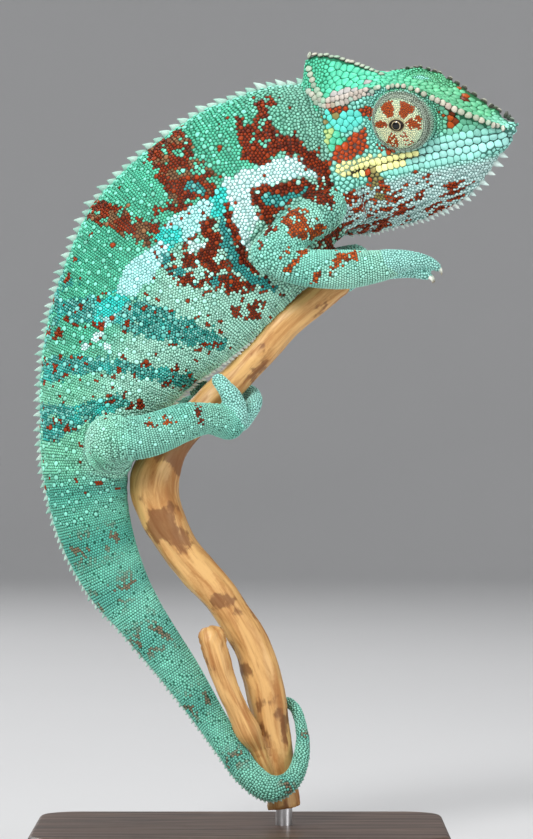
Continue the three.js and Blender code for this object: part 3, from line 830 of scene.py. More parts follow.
@dataclass(frozen=True)
class Marking:
    """One marking seen from the side: an outline, or a stroke where width is given."""

    hue: Hue
    path: tuple
    width: tuple = ()
    cover: float = 1.0
    ragged: float = 1.3

    def depth(self, flat: Array) -> Array:
        """How far inside the marking each point lies, in millimetres, and less than 0 outside it."""
        path = np.array(self.path, float)
        if self.width:
            ends = list(zip(path[:-1], path[1:], self.width[:-1], self.width[1:]))
        else:
            ends = [(a, b, 0, 0) for a, b in zip(path, np.roll(path, -1, 0))]
        best = np.full(len(flat), -1e9)
        inside = np.zeros(len(flat), bool)
        for a, b, wide_a, wide_b in ends:
            along = b - a
            share = np.clip((flat - a) @ along / max(along @ along, 1e-9), 0, 1)
            apart = np.linalg.norm(flat - a - share[:, None] * along, axis=1)
            best = np.maximum(best, wide_a + (wide_b - wide_a) * share - apart)
            crosses = (a[1] > flat[:, 1]) != (b[1] > flat[:, 1])
            level = a[0] + (flat[:, 1] - a[1]) / (b[1] - a[1] if b[1] != a[1] else 1e-9) * along[0]
            inside ^= crosses & (flat[:, 0] < level)
        return best if self.width else np.where(inside, -best, best)


SADDLE: tuple = (
    (-18, 218), (-15, 215.4), (-13.5, 210.9), (-9.8, 206.4), (-6.8, 201.9), (-5.6, 199.6), (-8.2, 198),
    (-15, 197), (-18, 196.5), (-21, 192.9), (-23.2, 193.6), (-21.6, 197.4), (-23.1, 202.5), (-25.1, 206.4),
    (-28.5, 208.6), (-27, 212.4), (-23.6, 214.3),
)
LOIN: tuple = (
    (-43, 197.8), (-36.8, 195.9), (-33.8, 193.6), (-28.5, 191.4), (-24, 190.3), (-24.8, 186.2), (-27, 183),
    (-31.5, 183.8), (-38.2, 188.4), (-46, 191.8), (-46, 194),
)
TRUNK_MARKINGS: tuple = tuple(Marking(*row) for row in (
    (Hue.BAR, ((-56, 168), (-48, 167.4), (-40.5, 168), (-34.5, 166.3), (-28.5, 167.4), (-15.8, 161.8),
     (-4, 155.8), (-6, 152.4), (-18, 154.3), (-33, 156.9), (-37.5, 159.2), (-49.5, 160.7), (-56, 163.3))),
    (Hue.BAR, ((-60, 148.7), (-54, 150), (-42, 150.2), (-31.5, 148.8), (-18.8, 146), (-12.8, 142.5),
     (-16.5, 140.3), (-28.5, 143.8), (-42, 146.2), (-50, 144.5), (-60, 142.3))),
    (Hue.BAR, ((-62, 135.2), (-45.8, 136.3), (-39.8, 138.2), (-34.5, 138.5), (-29.6, 135.9), (-36, 134.2),
     (-45, 131.4), (-54, 125.4), (-62, 126.2)), (), 0.9),
    (Hue.BAR, ((-57, 187), (-55, 172), (-57, 158)), (6, 5, 3), 0.4, 2.5),
    (Hue.PALE, ((-6, 202.7), (1.5, 204.2), (9, 205.7), (11, 201.6), (6.8, 200.8), (3, 199), (4.9, 194.4),
     (6.7, 191.4), (3.7, 186.9), (3, 182.4), (0.7, 182.4), (-1.5, 188.4), (-3.4, 194.4), (-5.6, 199.6)),
     (), 1, 0.8),
    (Hue.PALE, ((24, 204.5), (16.5, 207.2), (9, 204.9), (1.5, 202.3)), (1.6, 3.4, 3.4, 3.4), 1, 0.6),
    (Hue.AQUA, ((-5.5, 199.8), (-7, 196), (-4, 193), (-9, 195.2)), (1.6, 2.6, 1.8, 3), 1, 0.8),
    (Hue.STRIPE, ((-10.4, 194.4), (-13.5, 191.4), (-18, 187.6), (-20, 185.4)), (2.4, 4.2, 4, 2.4), 1, 0.6),
    (Hue.AQUA, ((-19, 186.6), (-22, 184), (-24, 187)), (2.4, 2.6, 1.4), 1, 0.8),
    (Hue.STRIPE, ((-23.2, 182.4), (-26.2, 178.6), (-30, 174.9), (-33, 171.2), (-34.9, 169.3)),
     (2.2, 3.6, 3.9, 3.4, 2), 1, 0.6),
    (Hue.AQUA, ((-35, 168.5), (-38.5, 165), (-41, 161)), (2, 3.4, 2), 0.85),
    (Hue.STRIPE, ((-37.4, 161.9), (-39.8, 160)), (1.1, 1.2), 1, 0.4),
    (Hue.PALE, ((-41.4, 156.6), (-42.8, 155.6)), (1.3, 1.2), 1, 0.4),
    (Hue.PALE, ((-39.8, 153.3), (-39.4, 153)), (0.9, 0.9), 1, 0.4),
    (Hue.PALE, ((-46.1, 153.1), (-45.8, 153)), (0.9, 0.9), 1, 0.4),
    (Hue.RED, ((-1.4, 223.8), (1.5, 220.8), (3.2, 217.8), (4.6, 219.9), (4.6, 226.6), (10.6, 228.9),
     (9.4, 222.5), (10.1, 218), (16.5, 215.4), (22.4, 211), (26.8, 207.2), (29.2, 202.5), (28.8, 197.5),
     (24, 202.5), (20.2, 206.8), (14.1, 211.4), (10.1, 210), (7.5, 207.2), (3.4, 207), (0.8, 209.6),
     (-0.6, 215.4)), (), 0.93),
    (Hue.BROWN, SADDLE, (), 0.72),
    (Hue.RED, SADDLE, (), 0.6),
    (Hue.RED, ((-24, 193.8), (-15.5, 194.6)), (1.3, 1.1), 0.85, 0.9),
    (Hue.RED, ((-16, 198), (-9.6, 197.6)), (1, 0.9), 0.85, 0.8),
    (Hue.BLUE, ((-14.4, 200.6), (-11.4, 200)), (1.7, 1.5), 0.9, 0.6),
    (Hue.BROWN, LOIN, (), 0.8),
    (Hue.RED, LOIN, (), 0.5),
    (Hue.RED, ((-3.8, 194.4), (-2.6, 189.9), (0.4, 183.5), (3.4, 177.5), (6.4, 173), (12.8, 171.5),
     (12.8, 168.9), (-6.8, 169.5), (-15, 171.2), (-23.2, 173), (-24.6, 175.3), (-23.6, 177.9),
     (-18.8, 182.4), (-13.5, 186.2), (-9, 189.9), (-6, 191.4)), (), 0.34),
    (Hue.RED, ((-9.8, 188.6), (-7, 183.4), (-6.6, 177.2)), (2, 3, 2.6), 0.82),
    (Hue.RED, ((-22.4, 176.8), (-16.5, 173.4), (-11, 172.6)), (1.3, 1.4, 1.7), 0.8),
    (Hue.RED, ((-9, 173.2), (0, 171.6), (8.4, 172.4)), (1.8, 1.9, 1.3), 0.8),
    (Hue.RED, ((-20.6, 179.6), (-15, 178.6), (-10, 180.6)), (0.9, 1.1, 1.6), 0.7),
    (Hue.BLUE, ((-5.4, 191), (-4, 185.4), (-1.4, 179), (3.4, 173.4), (10, 170.4)), (1.1, 1.7, 1.8, 1.6, 1),
     1, 0.9),
    (Hue.BLUE, ((-22, 179), (-17, 175.6), (-9, 173.4), (-3, 173)), (2.6, 2.2, 1.8, 1.6), 0.42),
    (Hue.PALE, ((-14, 183), (-11.4, 183.4)), (1.2, 0.9), 0.7),
    (Hue.RED, ((-3.9, 194.4), (-2.9, 190), (-0.6, 184.5), (1.4, 178.8), (5, 175)), (0.9,) * 5, 1, 0.9),
    (Hue.RED, ((-3, 164.4), (1.5, 165.9), (7.5, 166.6), (8.2, 162.2), (0, 161.4)), (), 0.5),
    (Hue.RED, ((3.2, 199.3), (7.1, 200.6), (11.6, 201), (15, 202.4), (19.5, 203), (24, 201.8), (27, 198.9),
     (27, 194), (21, 194), (16.9, 195), (13.9, 191.5), (9.4, 189), (6.6, 191.8), (4.9, 194.4), (3.2, 196.3)
     ), (), 0.92),
    (Hue.BLUE, ((6.2, 198), (9, 199), (12.8, 197.9), (16.1, 199.2), (20.4, 200.2), (18, 197.8), (15.8, 197),
     (12, 195.4), (8.6, 194.7), (6.4, 195.9)), (), 1, 0.7),
))

HEAD_MARKINGS: tuple = tuple(Marking(*row) for row in (
    (Hue.TURQUOISE, ((-24.5, -0.5), (-20, -1), (-15, 0)), (2.6, 3, 2.4)),
    (Hue.OLIVE, ((-26, 0.5), (-22.5, 3)), (2.2, 2.4), 0.7),
    (Hue.LILAC, ((-23, 5.6), (-17, 7), (-11, 8.6)), (1, 1.5, 1), 0.85),
    (Hue.RUST, ((-23.5, 3.2), (-15, 1.8), (-9.8, 0.6)), (1, 1, 1), 0.85),
    (Hue.LIME, ((-25, -4), (-23.4, -8)), (1.8, 1.6), 0.6),
    (Hue.RUST, ((-23.8, -12), (-22.6, -9.4), (-19.4, -6.6), (-16.3, -4), (-13, -3), (-12.2, -6.5),
     (-12.7, -8.7), (-14.6, -10.9), (-17, -12), (-20, -12.8)), (), 0.93, 0.7),
    (Hue.YELLOW, ((-19.5, -14.6), (-15, -14.3), (-11, -13.9), (-4.5, -12.9), (1.5, -12.2)),
     (2.3, 2.6, 2.4, 1.9, 1), 1, 0.4),
    (Hue.RUST, ((-9, -9.4), (-4.5, -9.8)), (1.1, 0.8), 0.6),
    (Hue.ORANGE, ((12, 0.5), (13.5, -4)), (2.2, 1.8), 0.6),
    (Hue.OLIVE, ((-11.5, -18), (-10.5, -24)), (2.2, 2.6), 0.4),
    (Hue.RUST, ((-11.5, -18), (-10.5, -25)), (2.4, 3), 0.42),
))

LIMB_MARKINGS: tuple = tuple(Marking(*row) for row in (
    (Hue.RED, ((16, 204), (22, 204.4), (27.6, 201), (27.6, 194.6), (22, 195.2), (18, 198.2)), (), 0.82),
    (Hue.ORANGE, ((12.4, 191.4), (15, 193.7), (18.8, 192.5), (22.5, 190.7), (24.8, 188.4), (22.5, 185.4),
     (18, 185), (15, 186.9)), (), 0.85),
    (Hue.ORANGE, ((13.5, 174.9), (18.8, 180.9)), (0.7, 1), 0.75),
    (Hue.ORANGE, ((11.5, 179), (14, 181.5)), (0.7, 0.6), 0.6),
    (Hue.ORANGE, ((27, 175.7), (30, 179.6), (33.8, 180.2)), (1, 0.7, 0.9), 0.6),
    (Hue.ORANGE, ((22, 172.6), (23.4, 174)), (0.9, 0.7), 0.8),
    (Hue.RED, ((8.6, 187.6), (10.4, 187)), (1.1, 0.8), 0.9),
    (Hue.RED, ((6.6, 183), (8.6, 182.7)), (0.8, 0.6), 0.9),
    (Hue.ORANGE, ((-26.6, 130), (-25.4, 129)), (1.1, 0.9), 0.8),
    (Hue.ORANGE, ((-20.6, 132.4), (-20, 131)), (1.2, 1), 0.8),
    (Hue.RED, ((-12.2, 134.6), (-11.4, 130.4)), (0.9, 0.7), 0.6),
))
SHOULDER_CREASE = Marking(
    Hue.NECK, ((2.4, 183.6), (7.5, 188.6), (13, 193.4), (18, 196.8), (27.5, 201.5)), (0,) * 5
)
CHEST_MARKINGS: tuple = tuple(Marking(*row) for row in (
    (Hue.RED, ((19, 184.5), (26, 191), (33, 190), (32, 184), (26, 181.5)), (), 0.7),
))


def mix(first: Array | Hue, second: Array | Hue, share: Array) -> Array:
    """Blends colours row by row."""
    first, second = (tone.linear if isinstance(tone, Hue) else tone for tone in (first, second))
    share = np.asarray(share)[:, None]
    return first * (1 - share) + second * share


@dataclass
class Painter:
    """Gives skin and scales their colours, from the same markings."""

    body: Body
    leg_shade: tuple = (0.83, 0.92, 0.91)
    tail_bands: tuple = (11.9, 13.2, 14.25, 15.3, 16.6, 18.5, 20.6, 22.6, 24.8)
    band_width: float = 0.3
    spokes: tuple = (
        (117, 19, 1.0), (55, 20, 1.0), (3, 17, 0.9), (180, 10, 0.8), (-112, 15, 0.65), (-62, 14, 0.5),
    )

    def base(self, s: Survey) -> Array:
        """The ground colour of each point, without markings."""
        level, sway, place = np.cos(s.turn), noise(s.points, 9, 3), s.place
        ground = mix(Hue.BACK, Hue.FLANK, ramp(0.75, -0.35, level + 0.25 * sway))
        for hue, share in (
            (Hue.RUMP, 0.7 * ramp(8, 10, place) * ramp(-0.6, 0.4, level)),
            (Hue.TAIL, 0.85 * ramp(11.2, 13, place)),
            (Hue.NECK, 0.8 * ramp(2.7, 1.5, place)),
            (Hue.ROOT, 0.6 * ramp(11, 12, place) * ramp(14.6, 13, place)),
            (Hue.NECK, 0.5 * ramp(17, 19, place)),
        ):
            ground = mix(ground, hue, share)
        leg = s.part == Part.LEG
        limb = mix(Hue.LIMB, Hue.FLANK, np.clip(0.3 + 0.6 * sway, 0, 1))
        limb = limb * np.where(leg[:, None], self.leg_shade, 1.0)
        hip = ramp(-29, -40, s.points[:, 0]) * leg
        limb = mix(limb, mix(Hue.RUMP, Hue.FLANK, np.clip(0.4 + sway, 0, 1)), 0.75 * hip)
        ground = np.where(s.limb[:, None], limb, ground)
        ground = np.where((s.part == Part.TOE)[:, None], Hue.TOE.linear, ground)
        head, forward, up = self.body.head, s.forward, s.up
        mouth = head.mouth_height(forward)
        over = np.maximum(ramp(0.2, 1.6, up - head.read("ridge", forward)), head.roof(s))
        face = np.tile(Hue.CHEEK.linear, (len(up), 1))
        for hue, share in (
            (mix(Hue.CASQUE, Hue.SNOUT, ramp(-14, 6, forward)), over),
            (Hue.SNOUT, 0.75 * ramp(0, 13, forward) * ramp(-9, -4, up)),
            (Hue.LIP, bump(up - mouth, 3.4) * ramp(-6, 4, forward)),
            (Hue.GULAR, ramp(3.5, 7, mouth - up)),
            (Hue.NECK, 0.85 * ramp(-21, -27, forward) * (1 - over)),
        ):
            face = mix(face, hue, share)
        ground = np.where(s.heady[:, None], face, ground)
        return ground * (1 + 0.09 * noise(s.points, 4, 5))[:, None]

    def lay(self, colour: Array, s: Survey, flat: Array, marks: tuple, dice: Array | None,
            where: Array, seed: int) -> Array:
        """Lays markings over colours.

        Args:
            colour: The colours so far.
            s: The points.
            flat: Their places in the markings' own plane.
            marks: The markings, lowest first.
            dice: A random number for each scale, or None for bare skin.
            where: Which points may be marked.
            seed: Chooses the ragged edge's pattern.

        Returns:
            The new colours.
        """
        rough = noise(s.points, 2.3, seed) + 0.6 * noise(s.points, 1.1, seed + 1)
        for k, mark in enumerate(marks):
            depth, hue = mark.depth(flat) + mark.ragged * rough, mark.hue
            if dice is None:
                share = ramp(-0.4, 0.5, depth) * mark.cover
            else:
                lot = 0.5 + 0.75 * noise(s.points, 2.1, seed + 9 + k) + 0.3 * (dice - 0.5)
                stray = 5 * mark.ragged * (dice - 0.5) ** 3
                share = (depth > stray) & (lot < mark.cover + 0.25 * (mark.cover > 0.95))
            tone = np.tile(hue.linear, (len(depth), 1))
            if dice is not None and hue in (Hue.PALE, Hue.STRIPE, Hue.BAR):
                tone = mix(tone, Hue.TUBERCLE, 0.5 * dice**2)
            if hue is Hue.BAR:
                tone = mix(tone, Hue.AQUA, 0.55 * ramp(-0.1, 0.9, noise(s.points, 3.4, seed + k)))
            if dice is not None and hue in (Hue.RED, Hue.BROWN, Hue.ORANGE):
                edge = ramp(2.5, 0.2, depth) + 0.5 * (hue is Hue.RED)
                tone = mix(tone, Hue.DEEP_RED, 0.75 * (dice > 0.5) * np.clip(edge, 0, 1))
            colour = mix(colour, tone, share * where)
        return colour

    def paint(self, s: Survey, dice: Array | None = None) -> Array:
        """The colour of each point.

        Args:
            s: The points.
            dice: A random number for each scale, or None for bare skin.

        Returns:
            Linear colours.
        """
        colour = self.base(s)
        thigh = (s.part == Part.LEG) & (s.points[:, 0] + 3 * noise(s.points, 4, 57) < -32)
        spine = s.axial | (s.heady & (s.forward < -27)) | thigh
        face = s.heady & (s.gaze > self.body.eye.rim - 0.4) & (s.forward > -27)
        for flat, marks, where, seed in (
            (s.flat, TRUNK_MARKINGS, spine, 31), (s.flat, CHEST_MARKINGS, spine, 47),
            (s.flat, LIMB_MARKINGS, s.limb, 53), (s.profile, HEAD_MARKINGS, face, 61),
        ):
            colour = self.lay(colour, s, flat, marks, dice, where, seed)
        lot = np.full(len(s.points), 0.5) if dice is None else dice
        return self.turret(self.flecks(colour, s, lot, spine), s, lot)

    def flecks(self, colour: Array, s: Survey, lot: Array, spine: Array) -> Array:
        """Tail bands, red flecks in the dark bars, and the streaks of the throat."""
        band = np.max([bump(s.place - centre, self.band_width) for centre in self.tail_bands], 0)
        band = band * (s.axial & (s.place > 11))
        colour = mix(colour, Hue.BAR, 0.45 * band)
        clump = noise(s.points, 1.9, 71)
        here = (np.cos(s.turn) > -0.75) & (np.abs(s.place - self.tail_bands[0]) > 0.5)
        fleck = band * (clump > 0.12) * (lot < 0.62) * here
        colour = mix(colour, mix(Hue.BROWN, Hue.RED, lot), fleck * (0.8 if lot.ptp() else 0.35))
        barred = np.any([mark.depth(s.flat) > -1.5 for mark in TRUNK_MARKINGS[:4]], 0)
        spot = spine & barred & (clump > 0.5) & (lot < 0.75)
        loose = spine & (s.place < 12) & (s.place > 1.5) & (noise(s.points, 1.6, 73) > 0.7) & (lot < 0.6)
        colour = np.where((spot | loose)[:, None], Hue.RED.linear, colour)
        sunk, drop = self.body.head.mouth_height(s.forward) - s.up, s.up - 0.36 * s.forward
        streak = noise(np.column_stack([s.forward / 3.4, drop / 0.9, s.local[:, 1] / 2.5]), 1.0, 83)
        bottom = ramp(5, 22, sunk + 0.15 * (10 - s.forward))
        red = s.skull & (sunk > 4.5) & (streak > 0.42 - 0.34 * bottom) & (lot < 0.8)
        return np.where(red[:, None], mix(Hue.RED, Hue.RUST, lot), colour)

    def turret(self, colour: Array, s: Survey, lot: Array) -> Array:
        """The cream turret with its rusty spokes, and the grey folds round it."""
        angle, ragged = np.degrees(s.gaze_turn), 5 * noise(s.points, 1.3, 91)
        tone = mix(Hue.CREAM, Hue.CHEEK, 0.35 * ramp(5, 8, s.gaze))
        for centre, half, strength in self.spokes:
            apart = np.abs((angle - centre + 180) % 360 - 180)
            inside = (apart + ragged < half) & (s.gaze > 3) & (s.gaze < 7.3) & (lot < strength)
            tone = np.where(inside[:, None], Hue.ORANGE.linear, tone)
        tone = mix(tone, Hue.RIM, ramp(7.4, 8, s.gaze))
        return mix(colour, tone, ramp(9.9, 8.9, s.gaze) * (s.heady & (s.aside > 6)))


# ---- Skin -----------------------------------------------------------------------------------------
@dataclass
class Skin:
    """The one closed skin over all the flesh."""

    body: Body
    voxel: float = 0.72
    # The skin shows only in the grooves between the scales: its colour is darkened as painted shade, toned
    # olive, and dull teal under pale markings.
    groove_tone: float = 0.42
    groove_power: float = 1.55
    groove_hue: str = "3c3a26"
    pale_groove: str = "76aaa6"
    # Painted shade in the crease of the closed mouth.
    mouth_hue: str = "3b3a2c"

    def smooth(self, points: Array, edges: Array, rounds: int, weight: Array) -> Array:
        """Evens out a mesh by moving each point towards its neighbours' middle."""
        count = len(points)
        degree = np.maximum(np.bincount(edges.ravel(), minlength=count), 1)
        for _ in range(rounds):
            middle = np.empty_like(points)
            for axis in range(3):
                total = np.bincount(edges[:, 0], points[edges[:, 1], axis], count)
                total += np.bincount(edges[:, 1], points[edges[:, 0], axis], count)
                middle[:, axis] = total / degree
            points = points + weight[:, None] * (middle - points)
        return points

    def folds(self, s: Survey) -> Array:
        """How far each point of the skin stands out for its folds, in millimetres."""
        lumps = lambda size, seed: noise(s.points, size, seed)
        waves = lambda way, pitch: np.cos(math.tau * way / pitch)
        x, z = s.flat.T
        forward, up, side = s.forward, s.up, np.abs(s.points[:, 1])
        mouth = self.body.head.mouth_height(forward)
        drop = up - 0.36 * forward + 0.8 * lumps(6, 101)
        slack = s.skull * ramp(3.5, 7, mouth - up) * ramp(27, 20, forward)
        groove = s.skull * ramp(-19.5, -18, forward) * bump(up - mouth, 0.5)
        lips = s.skull * ramp(-19, -16, forward) * bump(np.abs(up - mouth) - 1.5, 0.9)
        ring = s.heady * ramp(12.4, 10.8, s.gaze) * ramp(7.2, 7.8, s.gaze) * (s.aside > 5)
        nostril = np.hypot(forward - 14.8, up + 1.2)
        neck = ramp(3.2, 2, s.place) * s.axial + ramp(-24, -27, forward) * s.skull
        bend = x + 0.22 * (z - 200) + 1.2 * lumps(8, 107)
        joint = s.limb * bump(s.place, 0.7)
        hip = np.hypot(x + 36, z - 124) + 0.8 * lumps(5, 117)
        near = s.axial | ((s.part == Part.LEG) & (x < -30))
        crease = near * ramp(19, 12, hip) * ramp(3, 7, hip) * (side > 4)
        sleeve = SHOULDER_CREASE.depth(s.flat) + 0.3 * lumps(3, 119)
        flank = s.axial * ramp(2, 3.5, s.place) * ramp(13, 11.5, s.place)
        return sum((
            0.3 * slack * waves(drop, 2.1) * (0.7 + 0.5 * lumps(4, 103)),
            -0.75 * groove,
            0.22 * lips,
            0.4 * ring * waves(s.gaze - 8.1, 1.3),
            -0.9 * (s.heady * bump(s.gaze, 1.9, 4)),
            s.heady * (0.35 * bump(nostril - 1.3, 0.5) - 0.9 * bump(nostril, 0.7)),
            0.32 * neck * waves(bend, 3.1) * (0.6 + 0.6 * lumps(5, 109)),
            0.24 * joint * waves(s.run + 0.5 * lumps(5, 111), 2.1),
            0.26 * crease * waves(hip, 1.9) * (0.6 + 0.7 * lumps(4, 121)),
            -0.95 * bump(sleeve, 0.75) * (side > 6) * (z > 170),
            0.14 * flank * waves(s.run + 1.5 * lumps(11, 113), 4.6),
        ))

    def build(self) -> Object:
        """Makes the skin, with its colours."""
        made = self.made = remesh(self.body.whole, "skin", self.voxel)
        mesh, even = made.data, np.ones(len(made.data.vertices))
        edges, points = read(mesh.edges, "vertices", 2, np.int32), mesh_points(mesh)
        for weight in (0.55, -0.57) * 3:
            points = self.smooth(points, edges, 1, weight * even)
        points = self.smooth(points, edges, 26, 0.5 * self.blend_zone(points))
        set_points(mesh, points)
        s = self.survey = self.body.survey(points, mesh_normals(mesh))
        points = points + s.normals * self.folds(s)[:, None]
        points = self.smooth(points, edges, 1, 0.25 * even)
        set_points(mesh, points)
        s.points, s.normals = points, mesh_normals(mesh)
        tone = Painter(self.body).paint(s)
        # Painted shade in the grooves between the scales: the skin's colour is darkened, toned olive, and
        # dull teal under pale markings.
        pale = ramp(0.3, 0.75, tone[:, 0])
        tone = tone**self.groove_power * self.groove_tone
        tone = mix(tone, linear(self.groove_hue), np.full(len(pale), 0.1))
        tone = mix(tone, linear(self.pale_groove), 0.55 * pale)
        # Painted shade: a dark line along the crease where the lips meet, fading towards the snout.
        gap = np.abs(self.body.head.mouth_height(s.forward) - s.up)
        shaded_mouth_line = s.skull * (gap < 0.8) * ramp(-19, -18.5, s.forward)
        tone = mix(tone, linear(self.mouth_hue), shaded_mouth_line * (1 - 0.6 * ramp(-3, 2, s.forward)))
        give(mesh, TINT, tone)
        LOG.info("skin: %d points", len(points))
        return made

    def blend_zone(self, points: Array) -> Array:
        """How strongly each point belongs to the soft joins of limbs, neck and trunk."""
        spine = self.body.spine.locate(points)["ratio"]
        zone = np.zeros(len(points))
        for line, part in zip(self.body.lines[1:], self.body.parts[1:]):
            if part is not Part.TOE:
                soft, wide = (0.4, 0.28) if part is Part.ARM else (1.0, 0.4)
                limb = line.locate(points)["ratio"]
                zone = np.maximum(zone, soft * bump(limb - 1.05, wide) * ramp(1.6, 1.15, spine))
        head = self.body.head.to_local(points)[:, 0]
        neck = bump(head + 34, 7) * ramp(214, 206, points[:, 2])
        return np.clip(np.maximum(zone, neck), 0, 1)


# ---- Scales ---------------------------------------------------------------------------------------
@dataclass
class ScaleField:
    """Chooses where every scale grows, how wide it is and how high it stands."""

    body: Body
    skin: Skin
    gap: float = 0.985
    rounds: int = 4
    crowd: float = 5.0
    throat_size: float = 0.36
    plate_from: float = 0.8
    knob_tries: int = 24000
    gaps: tuple = ((0.62, 0.8, 0.84), (0.8, 0.8, 0.8), (0.84, 0.8, 0.775))
    trunk_pitch: tuple = ((0.8, 2, 4, 6, 9, 12.9), (0.92, 1.05, 1.05, 0.84, 0.76, 0.8))
    tail_pitch: tuple = ((12.9, 16, 20, 24, 28), (0.86, 0.9, 0.82, 0.72, 0.58))
    slant: float = 0.36
    row_gap: float = 0.78
    row_scale: float = 1.55
    casque_rear: tuple = ((-32.4, 3.8, 14.4), (-31.4, 5, 12.6), (-29.8, 7, 10), (-27.4, 9.2, 6.4))

    def radius(self, s: Survey) -> Array:
        """Half the spacing of the scales at each point, in millimetres."""
        size = 0.5 * np.interp(s.place, *(a + b for a, b in zip(self.trunk_pitch, self.tail_pitch)))
        x, z = s.flat.T
        arm = np.interp(np.hypot(x - 44, z - 177), (0, 8, 30), (0.36, 0.4, 0.46))
        leg = np.interp(np.hypot(x + 4, z - 131), (0, 8, 35), (0.35, 0.37, 0.39))
        size = np.where(s.limb, np.where(z > 155, arm, leg), size)
        size = np.where(s.part == Part.TOE, 0.37, size)
        head, forward, up = self.body.head, s.forward, s.up
        mouth = head.mouth_height(forward)
        turquoise, olive = (mark.depth(s.profile) for mark in HEAD_MARKINGS[:2])
        face = np.full(len(size), 0.72) + 0.12 * noise(s.points, 3, 121)
        for where, value in (
            ((forward > 7) & (up > mouth + 3.5), 0.95),
            ((up > head.read("ridge", forward) + 0.5) | (head.roof(s) > 0.5),
             np.interp(forward, (-16, -6, 8, 20), (1.06, 0.95, 1.05, 1.2))),
            (olive > -0.6, 0.56), (turquoise > -0.3, 0.98),
            (mouth - up > 3.2, np.interp(mouth - up, (3.2, 9), (0.8, 0.5))), (forward < -27, 0.5),
        ):
            face = np.where(where, value, face)
        face = np.minimum(face, np.interp(forward, (-28, -20), (0.5, 1.3)))
        eye = np.interp(s.gaze, (0, 7, 9, 11, 13), (0.33, 0.36, 0.34, 0.42, 0.7))
        face = np.where((s.aside > 5) & (s.gaze < 13), eye, face)
        return np.where(s.heady, face, size)

    def pin(self, points: Array, radius: float | Array, crown: float, kind: Kind) -> None:
        """Sets scales that keep their place, at the skin's nearest points."""
        points = np.atleast_2d(points)
        for spot, size in zip(nearest(self.tree, points), np.broadcast_to(radius, len(points))):
            self.pinned.append((*spot, size, crown, kind))

    def rail_row(self, path: Array, spacing: tuple, crown: float, kind: Kind) -> None:
        """A row of beads along a path over the head, given in its frame for the left side."""
        run = lengths(path)
        for side in (1, -1) if np.abs(path[:, 1]).max() > 0.5 else (1,):
            at = 0.0
            while at < run[-1]:
                step = float(np.interp(at, np.linspace(0, run[-1], len(spacing)), spacing))
                spot = np.array([np.interp(at, run, path[:, k]) for k in range(3)]) * (1, side, 1)
                self.pin(self.body.head.to_world(spot[None]), step * 0.56, crown * step, kind)
                at += step

    def pin_head(self) -> None:
        """The head's rows: crest beads, lips and the rings of the turrets."""
        head, eye = self.body.head, self.body.eye
        where = np.linspace(1.2, 10.3, 140)
        ridge = head.rail("ridge", where)
        for path, spacing, crown in (
            (ridge, (1.9, 1.7, 1.5, 1.5, 1.9, 2.1, 1.5), 0.36),
            (ridge[where < 4.4] + (0.8, 0.35, -1.55), (1.7, 1.6, 1.3), 0.26),
            (ridge[(where > 6.6) & (where < 9.6)] + (0.9, 0.2, -1.9), (1.7, 2.1), 0.28),
            (head.rail("top", np.linspace(1.1, 4.1, 60)), (1.9, 1.8, 1.6, 1.5), 0.36),
            (np.array(self.casque_rear), (1.9, 1.9), 0.36),
        ):
            self.rail_row(path, spacing, crown, Kind.BEAD)
        forward = np.linspace(-18.4, 29, 90)
        mouth, wide = head.mouth_height(forward), head.read("cheek", forward, 0)
        for rise, low, high in ((1.15, 1.7, 2.5), (-1.15, 1.7, 2.4), (3.15, 1.5, 2.2), (-3.05, 1.5, 2.1)):
            path = np.column_stack([forward, wide, mouth + rise])
            if abs(rise) > 2:
                path = path[forward > -8]
            self.rail_row(path, (low, 0.6 * low + 0.4 * high, high, high), 0.2, Kind.PLATE)
        radius, height = eye.profile(np.linspace(0, 1, 200))
        for side in Side:
            ring, row = 2.2, 0
            while ring < eye.rim - 0.3:
                step = float(np.interp(ring, (2, 4.5, 7, 9), (0.46, 0.58, 0.52, 0.46)))
                count = int(math.tau * ring / step)
                turn = (np.arange(count) + 0.5 * (row % 2)) * 2 * math.pi / count
                turn += self.rng.normal(0, 0.2 * step / ring, count)
                out = np.full(count, np.interp(-ring, -radius, height))
                spots = eye.place(side, ring + self.rng.normal(0, 0.07, count), out, turn)
                self.pin(head.to_world(spots), step * 0.5, 0.3 * step, Kind.GRANULE)
                ring += step * 0.93
                row += 1

    def pin_body(self) -> None:
        """The larger scales strewn over trunk, tail root and limbs."""
        own, spine, keel = self.skin.survey, self.body.spine, self.body.form.trunk_keel
        rows = np.flatnonzero((own.axial & (own.place > 2) & (own.place < 12.6)) | own.limb)
        s = own.take(self.rng.permutation(rows)[: self.knob_tries])
        pale = [mark for mark in TRUNK_MARKINGS if mark.hue in (Hue.STRIPE, Hue.PALE)]
        stripe = np.max([mark.depth(s.flat) for mark in pale], 0)
        dense = np.where((stripe > -1) & s.axial, 1.9, np.where(s.label > 0, 2.9, 2.3))
        tree, free = search_tree(s.points), np.cos(s.turn) >= -0.8
        for turn, shift in ((0.1, 0.0), (0.24, 0.5)):
            for side in (1, -1):
                at = spine.edge((1.3, 10.5), turn * side, keel, ((1, 6, 11), (2.3, 2.0, 1.5)), shift)
                size = np.interp(at, (1, 6, 11), (0.86, 0.78, 0.6)) * (1 - turn)
                self.pin(spine.surface(at, np.full(len(at), turn * side), keel), size, 0.4, Kind.KNOB)
        for k, spot in enumerate(s.points):
            if free[k]:
                for _, other, _ in tree.find_range(spot, dense[k]):
                    free[other] = False
                size = self.rng.uniform(0.45, 0.78) * (0.78 if s.label[k] else 1.0)
                self.pin(spot, size, size * 0.62, Kind.KNOB)

